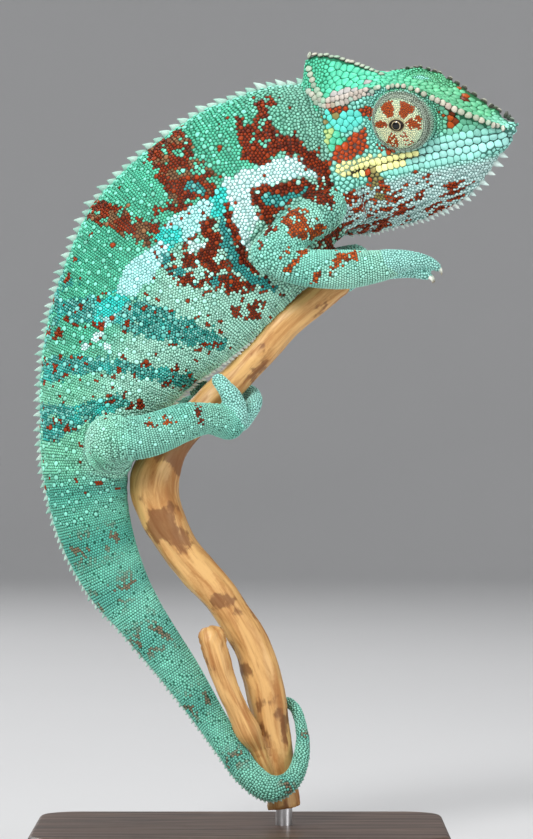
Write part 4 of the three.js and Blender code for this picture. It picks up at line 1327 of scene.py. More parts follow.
    def lattice(self, line: SoftLine, span: tuple, pitch: tuple, keel: float) -> None:
        """Seeds rings of scales round a line, each turned by half a scale from the one before.

        Args:
            line: The line of trunk, tail or limb.
            span: First and last place of the rows.
            pitch: Places and the spacing of the scales there.
            keel: How sharply the tube's back and belly are drawn in.
        """
        at, last = np.interp(span, line.place, line.run)
        row, count = 0, 0
        round_once = np.linspace(0, math.tau, 181)
        while at < last:
            place = float(np.interp(at, line.run, line.place))
            step = float(np.interp(place, *pitch))
            girth = lengths(line.surface(np.full(181, place), round_once, keel))
            want = girth[-1] / step
            if abs(want - count) > 0.05 * want:
                count = max(round(want), 5)
            along = (np.arange(count) + 0.5 * (row % 2) + self.rng.normal(0, 0.06, count)) / count * girth[-1]
            around = np.interp(along % girth[-1], girth, round_once)
            for spot in line.surface(np.full(count, place), around, keel).tolist():
                found = self.tree.find_nearest(Vector(spot))
                if found[3] < 1.6:
                    self.seeds.append((*found[0], step / 2))
            at += step * 0.88
            row += 1

    def sow(self) -> None:
        """Seeds the even rows of trunk, tail and limbs."""
        body = self.body
        self.lattice(body.spine, (2.3, 12.9), self.trunk_pitch, body.form.trunk_keel)
        self.lattice(body.spine, (12.9, 27.9), self.tail_pitch, body.form.tail_keel)
        for line, part in zip(body.lines[1:], body.parts[1:]):
            if part is not Part.TOE:
                pitch = (0.9, 0.84) if part is Part.ARM else (0.78, 0.74)
                self.lattice(line, (0.3, line.last), ((0, 1), pitch), 1.0)

    def streaks(self, spots: Array, below: Array) -> Array:
        """Picks the long scales of the throat, which lie in slanting rows.

        Args:
            spots: Candidates on the skin.
            below: Which of them are on the throat.

        Returns:
            The rows picked.
        """
        mine = np.flatnonzero(below)
        local = self.body.head.to_local(spots[mine])
        wave = 0.5 * noise(spots[mine], 5, 123)
        across = self.slant * local[:, 0] - local[:, 2] + 0.9 * (9 - np.abs(local[:, 1])) + wave
        across = across / self.row_gap
        bar = np.floor(across)
        along = local[:, 0] / self.row_scale + 0.5 * (bar % 2)
        cell = (bar * 4096 + np.floor(along)) * 2 + (local[:, 1] > 0)
        miss = np.hypot(across % 1 - 0.5, 1.8 * (along % 1 - 0.5))
        order = np.lexsort((miss, cell))
        _, first = np.unique(cell[order], return_index=True)
        return mine[order[first]]

    def choose(self) -> None:
        """Picks the roots, spreads them and measures the room of each."""
        self.rng = np.random.default_rng(SEED)
        mesh, s = self.skin.made.data, self.skin.survey
        mesh.calc_loop_triangles()
        corners = read(mesh.loop_triangles, "vertices", 3, np.int32)
        self.tree = BVHTree.FromPolygons(s.points.tolist(), corners.tolist())
        self.pinned, self.seeds = [], []
        self.pin_head()
        self.pin_body()
        self.sow()
        size, first = self.radius(s), corners[:, 0]
        depth = self.body.head.mouth_height(s.forward) - s.up
        mouth = s.skull & (np.abs(depth) < 0.2) & (s.forward > -17.5)
        throat = s.skull & (depth > 4.9) & (s.forward > -26)
        a, b, c = (s.points[corners[:, k]] for k in range(3))
        area = np.linalg.norm(np.cross(b - a, c - a), axis=1) / 2
        want = area / (3.3 * size[first] ** 2) * ~mouth[first]
        want *= 1 + 2 * s.heady[first]
        total = int(self.crowd * want.sum())
        pick = self.rng.choice(len(area), total, p=want / want.sum())
        u, v = np.sqrt(self.rng.random(total)), self.rng.random(total)
        spots = a[pick] * (1 - u)[:, None] + b[pick] * (u * (1 - v))[:, None] + c[pick] * (u * v)[:, None]
        below = throat[first[pick]]
        self.pinned += [(*spot, 0.5, 0.22, Kind.GRANULE) for spot in spots[self.streaks(spots, below)]]
        loose = np.where(below, self.throat_size, size[first[pick]])
        fixed, seeds = np.array(self.pinned), np.array(self.seeds)
        points = np.vstack([fixed[:, :3], seeds[:, :3], spots])
        size = np.concatenate([fixed[:, 3], seeds[:, 3], loose])
        rank = np.repeat([0, 1, 2], [len(fixed), len(seeds), len(spots)])
        keep = self.thin(points, size, rank)
        pinned, size = rank[keep] == 0, size[keep]
        self.size, self.root = size, self.spread(points[keep], size, ~pinned)
        self.normal = self.normals_at(self.root)
        self.survey = self.body.survey(self.root, self.normal)
        broad = size > self.plate_from
        self.crown = np.where(broad, 0.34, 0.56) * size
        self.kind = np.where(broad, Kind.PLATE, Kind.GRANULE)
        self.crown[pinned], self.kind[pinned] = fixed[keep[pinned], 4], fixed[keep[pinned], 5]
        bead = self.kind == Kind.BEAD
        upright = unit(self.survey.local[bead] * (0, 1, 0) + (0, 0, 4)) @ self.body.head.axes.T
        self.normal[bead] = unit(self.normal[bead] + 1.2 * upright)
        self.measure()
        LOG.info("scales: %d", len(keep))

    def thin(self, points: Array, size: Array, rank: Array) -> Array:
        """Keeps points that have room, the first ones first.

        Args:
            points: All candidates.
            size: Half the spacing that each wants.
            rank: 0 where pinned, 1 in the even rows and 2 for the rest.

        Returns:
            The kept rows.
        """
        tree, free, keep = search_tree(points), [True] * len(points), []
        sizes, ranks = size.tolist(), rank.tolist()
        for k, point in enumerate(points.tolist()):
            if free[k]:
                keep.append(k)
                mine, gaps = sizes[k], self.gaps[ranks[k]]
                for _, other, apart in tree.find_range(point, 1.75 * mine + 0.1):
                    if other > k and apart < gaps[ranks[other]] * (mine + sizes[other]):
                        free[other] = False
        return np.array(keep)

    def spread(self, points: Array, size: Array, loose: Array) -> Array:
        """Pushes loose points apart until their rooms are even."""
        for _ in range(self.rounds):
            near, apart = self.neighbours(points, 9)
            offset = points[:, None] - points[near]
            want = 1.02 * (size[:, None] + size[near])
            push = np.clip(want - apart, 0, None) / np.maximum(apart, 1e-6) * 0.3
            points = points + (offset * push[..., None]).sum(1) * loose[:, None]
            points[loose] = nearest(self.tree, points[loose])
        return points

    def neighbours(self, points: Array, count: int) -> tuple:
        """The nearest other points of each point, and how far off they are."""
        tree = search_tree(points)
        found = [tree.find_n(point, count + 1)[1:] for point in points.tolist()]
        return tuple(np.array([[item[k] for item in row] for row in found]) for k in (1, 2))

    def normals_at(self, points: Array) -> Array:
        """The skin's soft normals at the nearest of its own points."""
        tree = search_tree(self.skin.survey.points)
        found = [[item[1] for item in tree.find_n(point, 4)] for point in points.tolist()]
        return unit(self.skin.survey.normals[np.array(found)].mean(1))

    def measure(self) -> None:
        """Measures how far each scale can reach in each direction before it meets the next."""
        near, _ = self.neighbours(self.root, 13)
        ahead = np.tile(self.body.head.axes[:, 0], (len(self.root), 1))
        for k, line in enumerate(self.body.lines):
            rows = np.flatnonzero(self.survey.label == k)
            if len(rows):
                ahead[rows] = line.at(self.survey.place[rows])["ahead"]
        out, size = self.normal, self.size
        self.lie = unit(ahead - out * (ahead * out).sum(1)[:, None] + 1e-6)
        across = np.cross(out, self.lie)
        offset = self.root[near] - self.root[:, None]
        x, y = (offset * self.lie[:, None]).sum(2), (offset * across[:, None]).sum(2)
        apart, bearing = np.maximum(np.hypot(x, y), 1e-3), np.arctan2(y, x)
        share = size[:, None] / (size[:, None] + size[near])
        reach = np.empty((len(self.root), SPOKES))
        for k in range(SPOKES):
            facing = np.cos(math.tau * k / SPOKES - bearing)
            limit = np.where(facing > 0.15, apart * share / np.maximum(facing, 0.15), 9)
            reach[:, k] = np.minimum(limit.min(1), 1.6 * size)
        reach *= np.where(self.kind == Kind.PLATE, 1.0, self.gap)[:, None]
        bead = (self.kind == Kind.BEAD)[:, None]
        self.reach = np.where(bead, np.maximum(reach, 0.86 * size[:, None]), reach)


@dataclass
class ScaleForm:
    """The rings of one form of scale: share of the reach and share of the height at each ring."""

    kind: Kind
    sides: int
    rings: tuple

    def build(self) -> Object:
        """Makes the pattern scale that the coat repeats, with how it stretches stored on its points."""
        sides, flat, rise, pick = self.sides, [], [], []
        for share, height in self.rings:
            for k in range(sides):
                turn, exact = math.tau * k / sides, SPOKES * k / sides
                flat.append((math.cos(turn) * share, math.sin(turn) * share, 0))
                rise.append(height)
                pick.append(np.zeros(SPOKES))
                pick[-1][int(exact) % SPOKES] += 1 - exact % 1
                pick[-1][(int(exact) + 1) % SPOKES] += exact % 1
        flat, rise = np.array([*flat, (0, 0, 0)]), np.array([*rise, 1.0])
        pick = np.array([*pick, np.zeros(SPOKES)])
        top = (len(self.rings) - 1) * sides
        after = [(k + 1) % sides for k in range(sides)]
        faces = [list(range(sides))[::-1]]
        for low in range(0, top, sides):
            faces += [[low + k, low + n, low + n + sides, low + k + sides] for k, n in enumerate(after)]
        faces += [[top + k, top + n, top + sides] for k, n in enumerate(after)]
        made = Shell(flat + rise[:, None] * (0, 0, 1), faces).to_object(f"form_{self.kind.name}")
        give(made.data, "flat", flat)
        give(made.data, RISE, rise)
        for k in range(4):
            give(made.data, f"pick_{k}", pick[:, 3 * k : 3 * k + 3])
        return made


SCALE_FORMS: tuple = (
    ScaleForm(Kind.GRANULE, 6, ((1.0, -0.45), (0.78, 0.64))),
    ScaleForm(Kind.PLATE, 12, ((1.0, -0.4), (0.95, 0.35), (0.76, 0.78))),
    ScaleForm(Kind.KNOB, 8, ((1.0, -0.35), (0.93, 0.3), (0.68, 0.78))),
    ScaleForm(Kind.BEAD, 12, ((1.0, -0.3), (1.02, 0.12), (0.92, 0.5), (0.66, 0.84))),
    ScaleForm(Kind.SPIKE, 12, ((1.0, -0.3), (0.97, 0.05), (0.76, 0.34), (0.44, 0.67), (0.13, 0.95))),
)


class Weave:
    """Adds nodes to a tree and joins them."""

    def __init__(self, tree: Tree) -> None:
        """Works on one tree."""
        self.tree = tree

    def fill(self, node: bpy.types.Node, inputs: dict) -> None:
        """Sets a node's inputs, by name or number, to values or joins them to sockets."""
        for name, value in inputs.items():
            if isinstance(value, Socket):
                self.tree.links.new(value, node.inputs[name])
            else:
                node.inputs[name].default_value = value

    def node(self, kind: str, inputs: dict | None = None, **settings: object) -> bpy.types.Node:
        """Adds one node.

        Args:
            kind: The node's type.
            inputs: Values or sockets for its inputs, by name or number.
            settings: Properties of the node.

        Returns:
            The node.
        """
        made = self.tree.nodes.new(kind)
        for name, value in settings.items():
            setattr(made, name, value)
        self.fill(made, inputs or {})
        return made

    def maths(self, operation: str, *values: object) -> Socket:
        """One step of arithmetic."""
        return self.node("ShaderNodeMath", dict(enumerate(values)), operation=operation).outputs[0]

    def vector(self, operation: str, *values: object) -> Socket:
        """One step of vector arithmetic."""
        made = self.node("ShaderNodeVectorMath", dict(enumerate(values)), operation=operation)
        return made.outputs["Value" if operation == "DOT_PRODUCT" else "Vector"]

    def times(self, vector: object, factor: object) -> Socket:
        """A vector times a number."""
        return self.node("ShaderNodeVectorMath", {0: vector, "Scale": factor}, operation="SCALE").outputs[0]

    def named(self, name: str, kind: str = "FLOAT_VECTOR") -> Socket:
        """A named attribute inside a geometry tree."""
        made = self.node("GeometryNodeInputNamedAttribute", {"Name": name}, data_type=kind)
        return made.outputs["Attribute"]

    def stored(self, name: str, output: str = "Color") -> Socket:
        """A named attribute inside a material."""
        return self.node("ShaderNodeAttribute", attribute_name=name).outputs[output]

    def place(self) -> Socket:
        """The place on the object, in metres."""
        return self.node("ShaderNodeTexCoord").outputs["Object"]

    def cloud(self, place: Socket, size: object, detail: float, **inputs: float) -> Socket:
        """Smooth noise of a given fineness."""
        fixed = {"Vector": place, "Scale": size, "Detail": detail, **inputs}
        return self.node("ShaderNodeTexNoise", fixed).outputs["Fac"]

    def span(self, value: Socket, low: float, high: float, ends: tuple = (0.0, 1.0),
             soft: bool = True) -> Socket:
        """Brings a value from one range to another, softly or in a straight line."""
        inputs = {"Value": value, "From Min": low, "From Max": high, "To Min": ends[0], "To Max": ends[1]}
        kind = "SMOOTHSTEP" if soft else "LINEAR"
        return self.node("ShaderNodeMapRange", inputs, interpolation_type=kind).outputs[0]

    def blend(self, share: Socket, first: Socket, second: Socket) -> Socket:
        """A mix of two colours."""
        return self.node("ShaderNodeMix", {"Factor": share, 6: first, 7: second}, data_type="RGBA").outputs[2]


def coat_tree() -> Tree:
    """The tree that sets a scale on each point and stretches it to the room it has."""
    tree = bpy.data.node_groups.new("ScaleCoat", "GeometryNodeTree")
    inputs = {"Geometry": "Geometry", "Scale": "Object", "Finish": "Material", "Patch": "Float"}
    for name, kind in inputs.items():
        tree.interface.new_socket(name, in_out="INPUT", socket_type=f"NodeSocket{kind}")
    tree.interface.new_socket("Geometry", in_out="OUTPUT", socket_type="NodeSocketGeometry")
    weave = Weave(tree)
    given = weave.node("NodeGroupInput").outputs
    pattern = weave.node("GeometryNodeObjectInfo", {"Object": given["Scale"]}, transform_space="ORIGINAL")
    grown = {"Points": given["Geometry"], "Instance": pattern.outputs["Geometry"]}
    grown = weave.node("GeometryNodeInstanceOnPoints", grown)
    real = weave.node("GeometryNodeRealizeInstances", {"Geometry": grown.outputs["Instances"]})
    reach = 0.0
    for k in range(4):
        spokes = weave.vector("DOT_PRODUCT", weave.named(f"pick_{k}"), weave.named(f"reach_{k}"))
        reach = weave.maths("ADD", reach, spokes)
    flat = weave.node("ShaderNodeSeparateXYZ", {0: weave.named("flat")}).outputs
    out, lie = weave.named("out"), weave.named("lie")
    across = weave.vector("CROSS_PRODUCT", out, lie)
    sideways = weave.vector("ADD", weave.times(lie, flat[0]), weave.times(across, flat[1]))
    rise = weave.named(RISE, "FLOAT")
    crown = weave.maths("MULTIPLY", rise, weave.named("crown", "FLOAT"))
    place = weave.vector("ADD", weave.times(sideways, reach), weave.times(out, crown))
    lean = weave.times(weave.named("lean"), weave.maths("MULTIPLY", rise, weave.maths("ABSOLUTE", crown)))
    place = weave.vector("ADD", weave.vector("ADD", place, lean), weave.named("root"))
    moved = weave.node("GeometryNodeSetPosition", {"Geometry": real.outputs[0], "Position": place})
    smooth = weave.node("GeometryNodeSetShadeSmooth", {"Geometry": moved.outputs[0]})
    patch = weave.vector("ADD", weave.named("unwrap"), weave.times(weave.named("flat"), given["Patch"]))
    mapped = {"Geometry": smooth.outputs[0], "Name": BAKE_MAP, "Value": patch}
    mapped = weave.node("GeometryNodeStoreNamedAttribute", mapped, data_type="FLOAT2", domain="CORNER")
    dressed = {"Geometry": mapped.outputs[0], "Material": given["Finish"]}
    weave.node("NodeGroupOutput", {0: weave.node("GeometryNodeSetMaterial", dressed).outputs[0]})
    return tree


@dataclass
class Coat:
    """Turns chosen scales into joined meshes."""

    patch: float = 0.0015

    def __post_init__(self) -> None:
        """Builds the tree and the pattern scales."""
        self.tree = coat_tree()
        items = self.tree.interface.items_tree
        self.sockets = {item.name: item.identifier for item in items if item.in_out == "INPUT"}
        self.forms = {form.kind: form.build() for form in SCALE_FORMS}

    def grow(self, name: str, kind: Kind, rows: dict, finish: Material) -> Object:
        """Grows one piece of one form of scale.

        Args:
            name: The piece's name.
            kind: The form of scale.
            rows: For each scale its root, out, lie, reach, crown, lean, tint and unwrap.
            finish: The material.

        Returns:
            The piece as a plain mesh.
        """
        made = Shell(rows["root"], []).to_object(name)
        stored = {key: rows[key] for key in ("out", "lie", "lean", TINT)}
        stored |= {key: rows[key] * MM for key in ("root", "crown")}
        stored |= {f"reach_{k}": rows["reach"][:, 3 * k : 3 * k + 3] * MM for k in range(4)}
        stored["unwrap"] = np.pad(rows["unwrap"], ((0, 0), (0, 1)))
        for key, values in stored.items():
            give(made.data, key, values)
        modifier = made.modifiers.new("ScaleCoat", "NODES")
        modifier.node_group = self.tree
        for socket, value in (("Scale", self.forms[kind]), ("Finish", finish), ("Patch", self.patch)):
            modifier[self.sockets[socket]] = value
        attributes = finish_modifiers(made).data.attributes
        for key in [*stored, "flat", "pick_0", "pick_1", "pick_2", "pick_3"]:
            if key != TINT and key in attributes:
                attributes.remove(attributes[key])
        return made

    def clear(self) -> None:
        """Removes the pattern scales."""
        for form in self.forms.values():
            bpy.data.objects.remove(form)


# ---- Finishes -------------------------------------------------------------------------------------
def group(name: str, inputs: dict) -> tuple:
    """Starts a shader node group that gives colour, roughness and height.

    Args:
        name: The group's name.
        inputs: By name either a socket's type or the value of a number.

    Returns:
        The tree, its weave and the input node's sockets.
    """
    tree = bpy.data.node_groups.new(name, "ShaderNodeTree")
    for key, value in inputs.items():
        kind = value if isinstance(value, str) else "Float"
        socket = tree.interface.new_socket(key, in_out="INPUT", socket_type=f"NodeSocket{kind}")
        if value != kind:
            socket.default_value = value
    for key, kind in (("Color", "Color"), ("Roughness", "Float"), ("Height", "Float")):
        tree.interface.new_socket(key, in_out="OUTPUT", socket_type=f"NodeSocket{kind}")
    weave = Weave(tree)
    return tree, weave, weave.node("NodeGroupInput").outputs


def scale_tone_group() -> Tree:
    """The tone of one scale: painted shade at its foot, a painted highlight on its crown, with a fine uneven
    bloom.
    """
    tree, weave, given = group("ScaleTone", {
        "Tint": "Color", "Rise": 1.0, "Place": "Vector", "Foot": 0.45, "Crown": 1.1, "Bloom": 0.12,
        "Grain": 3000.0, "Sheen Low": 0.36, "Sheen High": 0.6,
    })
    # Painted shade at the scale's foot and a painted highlight on its crown, by its height.
    step = weave.span(given["Rise"], -0.05, 0.6, (given["Foot"], given["Crown"]))
    grain = weave.cloud(given["Place"], given["Grain"], 3.0, Roughness=0.6)
    bloom = weave.maths("MULTIPLY_ADD", weave.maths("SUBTRACT", grain, 0.5), given["Bloom"], 1.0)
    tone = weave.times(given["Tint"], weave.maths("MULTIPLY", step, bloom))
    rough = weave.span(grain, 0.3, 0.7, (given["Sheen Low"], given["Sheen High"]), soft=False)
    weave.node("NodeGroupOutput", {"Color": tone, "Roughness": rough, "Height": grain})
    return tree


def wood_group() -> Tree:
    """Wood whose grain runs along the first coordinate, with stains."""
    tree, weave, given = group("WoodGrain", {
        "Along": "Vector", "Place": "Vector", "Light": "Color", "Dark": "Color", "Stain": "Color",
        "Stained": 0.5, "Fineness": 1.0,
    })
    fibre = weave.cloud(given["Along"], given["Fineness"], 5.0, Roughness=0.62, Distortion=0.4)
    cloud = weave.cloud(given["Place"], 62.0, 4.0, Roughness=0.55)
    streak = weave.span(fibre, 0.36, 0.66)
    edge = weave.maths("ADD", cloud, weave.maths("MULTIPLY", fibre, 0.22))
    edge = weave.maths("SUBTRACT", edge, weave.maths("SUBTRACT", 1.12, given["Stained"]))
    stain = weave.maths("MULTIPLY", weave.span(edge, 0.0, 0.05), 0.75)
    colour = weave.blend(stain, weave.blend(streak, given["Light"], given["Dark"]), given["Stain"])
    rough = weave.maths("MULTIPLY_ADD", streak, 0.2, 0.42)
    weave.node("NodeGroupOutput", {"Color": colour, "Roughness": rough, "Height": fibre})
    return tree


def start_material(name: str) -> tuple:
    """A new material, its weave and its shader."""
    made = bpy.data.materials.new(name)
    made.use_nodes = True
    made.node_tree.nodes.clear()
    weave = Weave(made.node_tree)
    shader = weave.node("ShaderNodeBsdfPrincipled")
    weave.node("ShaderNodeOutputMaterial", {"Surface": shader.outputs[0]})
    return made, weave, shader


def bumped(weave: Weave, height: Socket, depth: float, strength: float) -> Socket:
    """A normal that follows a height."""
    inputs = {"Height": height, "Distance": depth, "Strength": strength}
    return weave.node("ShaderNodeBump", inputs).outputs[0]


def grouped(weave: Weave, tree: Tree, inputs: dict, depth: float, strength: float) -> dict:
    """A shader group's colour, roughness and bumped normal, by the names of the shader's inputs."""
    made = weave.node("ShaderNodeGroup", node_tree=tree)
    weave.fill(made, inputs)
    normal = bumped(weave, made.outputs["Height"], depth, strength)
    return {"Base Color": made.outputs["Color"], "Roughness": made.outputs["Roughness"], "Normal": normal}


@dataclass(frozen=True)
class ScaleFinish:
    """The finish of scales or skin of one region."""

    name: str
    # foot and crown multiply the tint: painted shade at a scale's foot and a painted highlight on its crown.
    foot: float = 0.2
    crown: float = 1.16
    bloom: float = 0.25
    grain: float = 2600.0
    sheen: tuple = (0.36, 0.56)
    coat: float = 0.06
    depth: float = 0.00005
    risen: bool = True

    def build(self, tones: Tree) -> Material:
        """Makes the material."""
        made, weave, shader = start_material(self.name)
        rise = weave.stored(RISE, "Fac") if self.risen else 1.0
        weave.fill(shader, grouped(weave, tones, {
            "Tint": weave.stored(TINT), "Rise": rise, "Place": weave.place(), "Foot": self.foot,
            "Crown": self.crown, "Bloom": self.bloom, "Grain": self.grain,
            "Sheen Low": self.sheen[0], "Sheen High": self.sheen[1],
        }, self.depth, 0.5))
        weave.fill(shader, {"Coat Weight": self.coat, "Coat Roughness": 0.3, "Specular IOR Level": 0.17})
        return made


@dataclass(frozen=True)
class WoodFinish:
    """The finish of one piece of wood."""

    name: str
    light: str
    dark: str
    stain: str
    stained: float
    stretch: tuple
    lacquer: float = 0.0

    def build(self, grain: Tree) -> Material:
        """Makes the material."""
        made, weave, shader = start_material(self.name)
        along = weave.vector("MULTIPLY", weave.stored("grain", "Vector"), self.stretch)
        light, dark, stain = ((*linear(code), 1) for code in (self.light, self.dark, self.stain))
        weave.fill(shader, grouped(weave, grain, {
            "Along": along, "Place": weave.place(), "Light": light, "Dark": dark, "Stain": stain,
            "Stained": self.stained,
        }, 0.0003, 0.4))
        weave.fill(shader, {"Coat Weight": self.lacquer, "Coat Roughness": 0.25})
        return made


def eye_material() -> Material:
    """The wet ball: black pupil, thin gold ring and dark rest, by distance from the line of sight."""
    made, weave, shader = start_material("wet_eye")
    fleck = weave.cloud(weave.place(), 4200.0, 2.0)
    tone = weave.times(weave.stored(TINT), weave.maths("MULTIPLY_ADD", fleck, 0.5, 0.75))
    weave.fill(shader, {
        "Base Color": tone, "Roughness": 0.12, "Specular IOR Level": 0.35, "Coat Weight": 0.25,
        "Coat Roughness": 0.02,
    })
    return made


def steel_material() -> Material:
    """Brushed steel."""
    made, weave, shader = start_material("brushed_steel")
    brush = weave.cloud(weave.vector("MULTIPLY", weave.place(), (900.0, 900.0, 9000.0)), 1.0, 3.0)
    weave.fill(shader, {
        "Base Color": weave.times((0.62, 0.62, 0.63), weave.maths("MULTIPLY_ADD", brush, 0.3, 0.85)),
        "Roughness": weave.maths("MULTIPLY_ADD", brush, 0.25, 0.2), "Metallic": 1.0,
        "Normal": bumped(weave, brush, 0.00002, 0.3),
    })
    return made


def paper_material(name: str, tone: float) -> Material:
    """Matte paper for the floor and the backdrop."""
    made, weave, shader = start_material(name)
    mottle = weave.maths("MULTIPLY_ADD", weave.cloud(weave.place(), 3.0, 2.0), 0.05, 0.975)
    weave.fill(shader, {"Base Color": weave.times((tone, tone, tone * 1.01), mottle), "Roughness": 0.85})
    return made


# In each scale finish, foot and crown (the second and third values) set the painted shade at the foot and the
# painted highlight on the crown.
FINISHES: dict = {
    "scaly_skin": ScaleFinish("body_scales"),
    "head_scales": ScaleFinish("face_scales", 0.22, 1.14, 0.3, 1500.0, (0.3, 0.5), 0.18, 0.0001),
    "throat_skin": ScaleFinish("throat_scales", foot=0.42, sheen=(0.45, 0.62)),
    "turret_skin": ScaleFinish("turret_scales", foot=0.5, grain=3200.0, sheen=(0.4, 0.58)),
    "crest": ScaleFinish("crest_horn", foot=0.8, crown=1.02, bloom=0.2, grain=900.0, sheen=(0.32, 0.5)),
    "bare": ScaleFinish("bare_skin", bloom=0.4, sheen=(0.5, 0.72), coat=0.05, risen=False),
    "lid": ScaleFinish("lid_skin", bloom=0.4, sheen=(0.3, 0.5), coat=0.2, risen=False),
    "claw": ScaleFinish("claw_horn", bloom=0.3, grain=700.0, sheen=(0.2, 0.4), coat=0.25, risen=False),
}


# ---- The dressed animal ---------------------------------------------------------------------------
@dataclass
class Hide:
    """The coat of scales, split in pieces by region and side."""

    field: ScaleField
    coat: Coat
    finishes: dict
    most: int = 8400
    most_large: int = 2600
    fewest: int = 12
    lean: float = 0.12

    REGIONS = (
        ("scales_head", "head_scales"), ("scales_throat", "throat_skin"), ("scales_turret", "turret_skin"),
        ("scales_neck_chest", "scaly_skin"), ("scales_trunk", "scaly_skin"), ("scales_rump", "scaly_skin"),
        ("scales_tail", "scaly_skin"), ("scales_arms", "scaly_skin"), ("scales_legs", "scaly_skin"),
    )

    def region(self) -> Array:
        """The region of each scale, counted as in REGIONS."""
        s, body = self.field.survey, self.field.body
        found = np.select([s.place < 3.6, s.place < 7.6, s.place < 12.5], [3, 4, 5], 6)
        found = np.where(s.label > 0, np.where(s.points[:, 2] > 155, 7, 8), found)
        face = np.where(body.head.mouth_height(s.forward) - s.up > 4.5, 1, 0)
        face = np.where((s.gaze < body.eye.rim - 0.3) & (s.aside > 5), 2, face)
        return np.where(s.heady, face, found)

    def unwrap(self, rows: Array) -> Array:
        """Lays one piece's roots out in the unit square, line by line, by run and turn on the skin."""
        s, low = self.field.survey.take(rows), 0.0
        span = lambda v: (v - v.min()) / max(float(np.ptp(v)), 1e-6)
        flat = np.empty((len(rows), 2))
        for label, count in zip(*np.unique(s.label, return_counts=True)):
            mine, high = s.label == label, low + count / len(rows)
            turret = label > self.field.body.head_label
            run, turn = (s.forward, s.up) if turret else (s.run, s.turn)
            flat[mine, 0] = 0.01 + 0.98 * span(run[mine])
            flat[mine, 1] = low + (high - low) * (0.02 + 0.96 * span(turn[mine]))
            low = high
        return np.clip(flat, 0.004, 0.996)

    def tints(self) -> Array:
        """Each scale's colour: the marking at its root, a little lighter or darker by chance, with painted
        shade in the valleys of the skin's folds.
        """
        f = self.field
        rng, count = np.random.default_rng(SEED + 1), len(f.root)
        tint = Painter(f.body).paint(f.survey, rng.random(count))
        reddish = (tint[:, 0] > 1.25 * tint[:, 1])[:, None]
        knob, crest = ((f.kind == kind)[:, None] for kind in (Kind.KNOB, Kind.BEAD))
        light = Hue.TUBERCLE.linear * 0.3 + tint * 0.85
        tint = np.where(knob & ~reddish, np.minimum(light, 0.92), tint)
        tint = np.where(knob & reddish, tint * 1.1 + linear("a05028") * 0.1, tint)
        tint = np.where(crest, mix(Hue.BEAD, tint, rng.uniform(0.1, 0.42, count)), tint)
        jitter_and_fold_shade = 1 + rng.normal(0, 0.085, count) + 0.12 * (rng.random(count) < 0.12)
        # Painted shade: scales in fold valleys and creases are darkened, and those on fold ridges lightened a
        # little.
        jitter_and_fold_shade += 1.1 * np.clip(f.skin.folds(f.survey), -0.3, 0.06)
        return np.clip(tint * np.clip(jitter_and_fold_shade, 0.7, 1.35)[:, None], 0, 1)

    def build(self) -> None:
        """Grows all the pieces."""
        f, tint, region = self.field, self.tints(), self.region()
        right = np.where(f.survey.heady, f.survey.local[:, 1] < 0, f.survey.points[:, 1] < 0)
        bunch = (region * 2 + right) * len(Kind) + f.kind
        f.kind[np.bincount(bunch)[bunch] < self.fewest] = Kind.GRANULE
        for index, (name, slot) in enumerate(self.REGIONS):
            for side, here in ((Side.RIGHT, right), (Side.LEFT, ~right)):
                for kind in (Kind.GRANULE, Kind.PLATE, Kind.KNOB, Kind.BEAD):
                    rows = np.flatnonzero((region == index) & here & (f.kind == kind))
                    rows = rows[np.argsort(f.survey.run[rows], kind="stable")]
                    title = f"{name}_{side.word}_{kind.name.lower()}s"
                    self.pieces(title, slot, kind, rows, tint)

    def pieces(self, title: str, slot: str, kind: Kind, rows: Array, tint: Array) -> None:
        """Grows scales of one form as one piece, or as several where they are many."""
        f = self.field
        parts = math.ceil(len(rows) / (self.most if kind is Kind.GRANULE else self.most_large))
        for k, mine in enumerate(np.array_split(rows, parts) if parts else ()):
            piece = self.coat.grow(title + (f"_{k + 1}" if parts > 1 else ""), kind, {
                "root": f.root[mine], "out": f.normal[mine], "lie": f.lie[mine], "reach": f.reach[mine],
                "crown": f.crown[mine], "lean": f.lie[mine] * self.lean, TINT: tint[mine],
                "unwrap": self.unwrap(mine),
            }, self.finishes[slot])
            present(piece, slot)
            LOG.info("%s: %d scales", piece.name, len(mine))


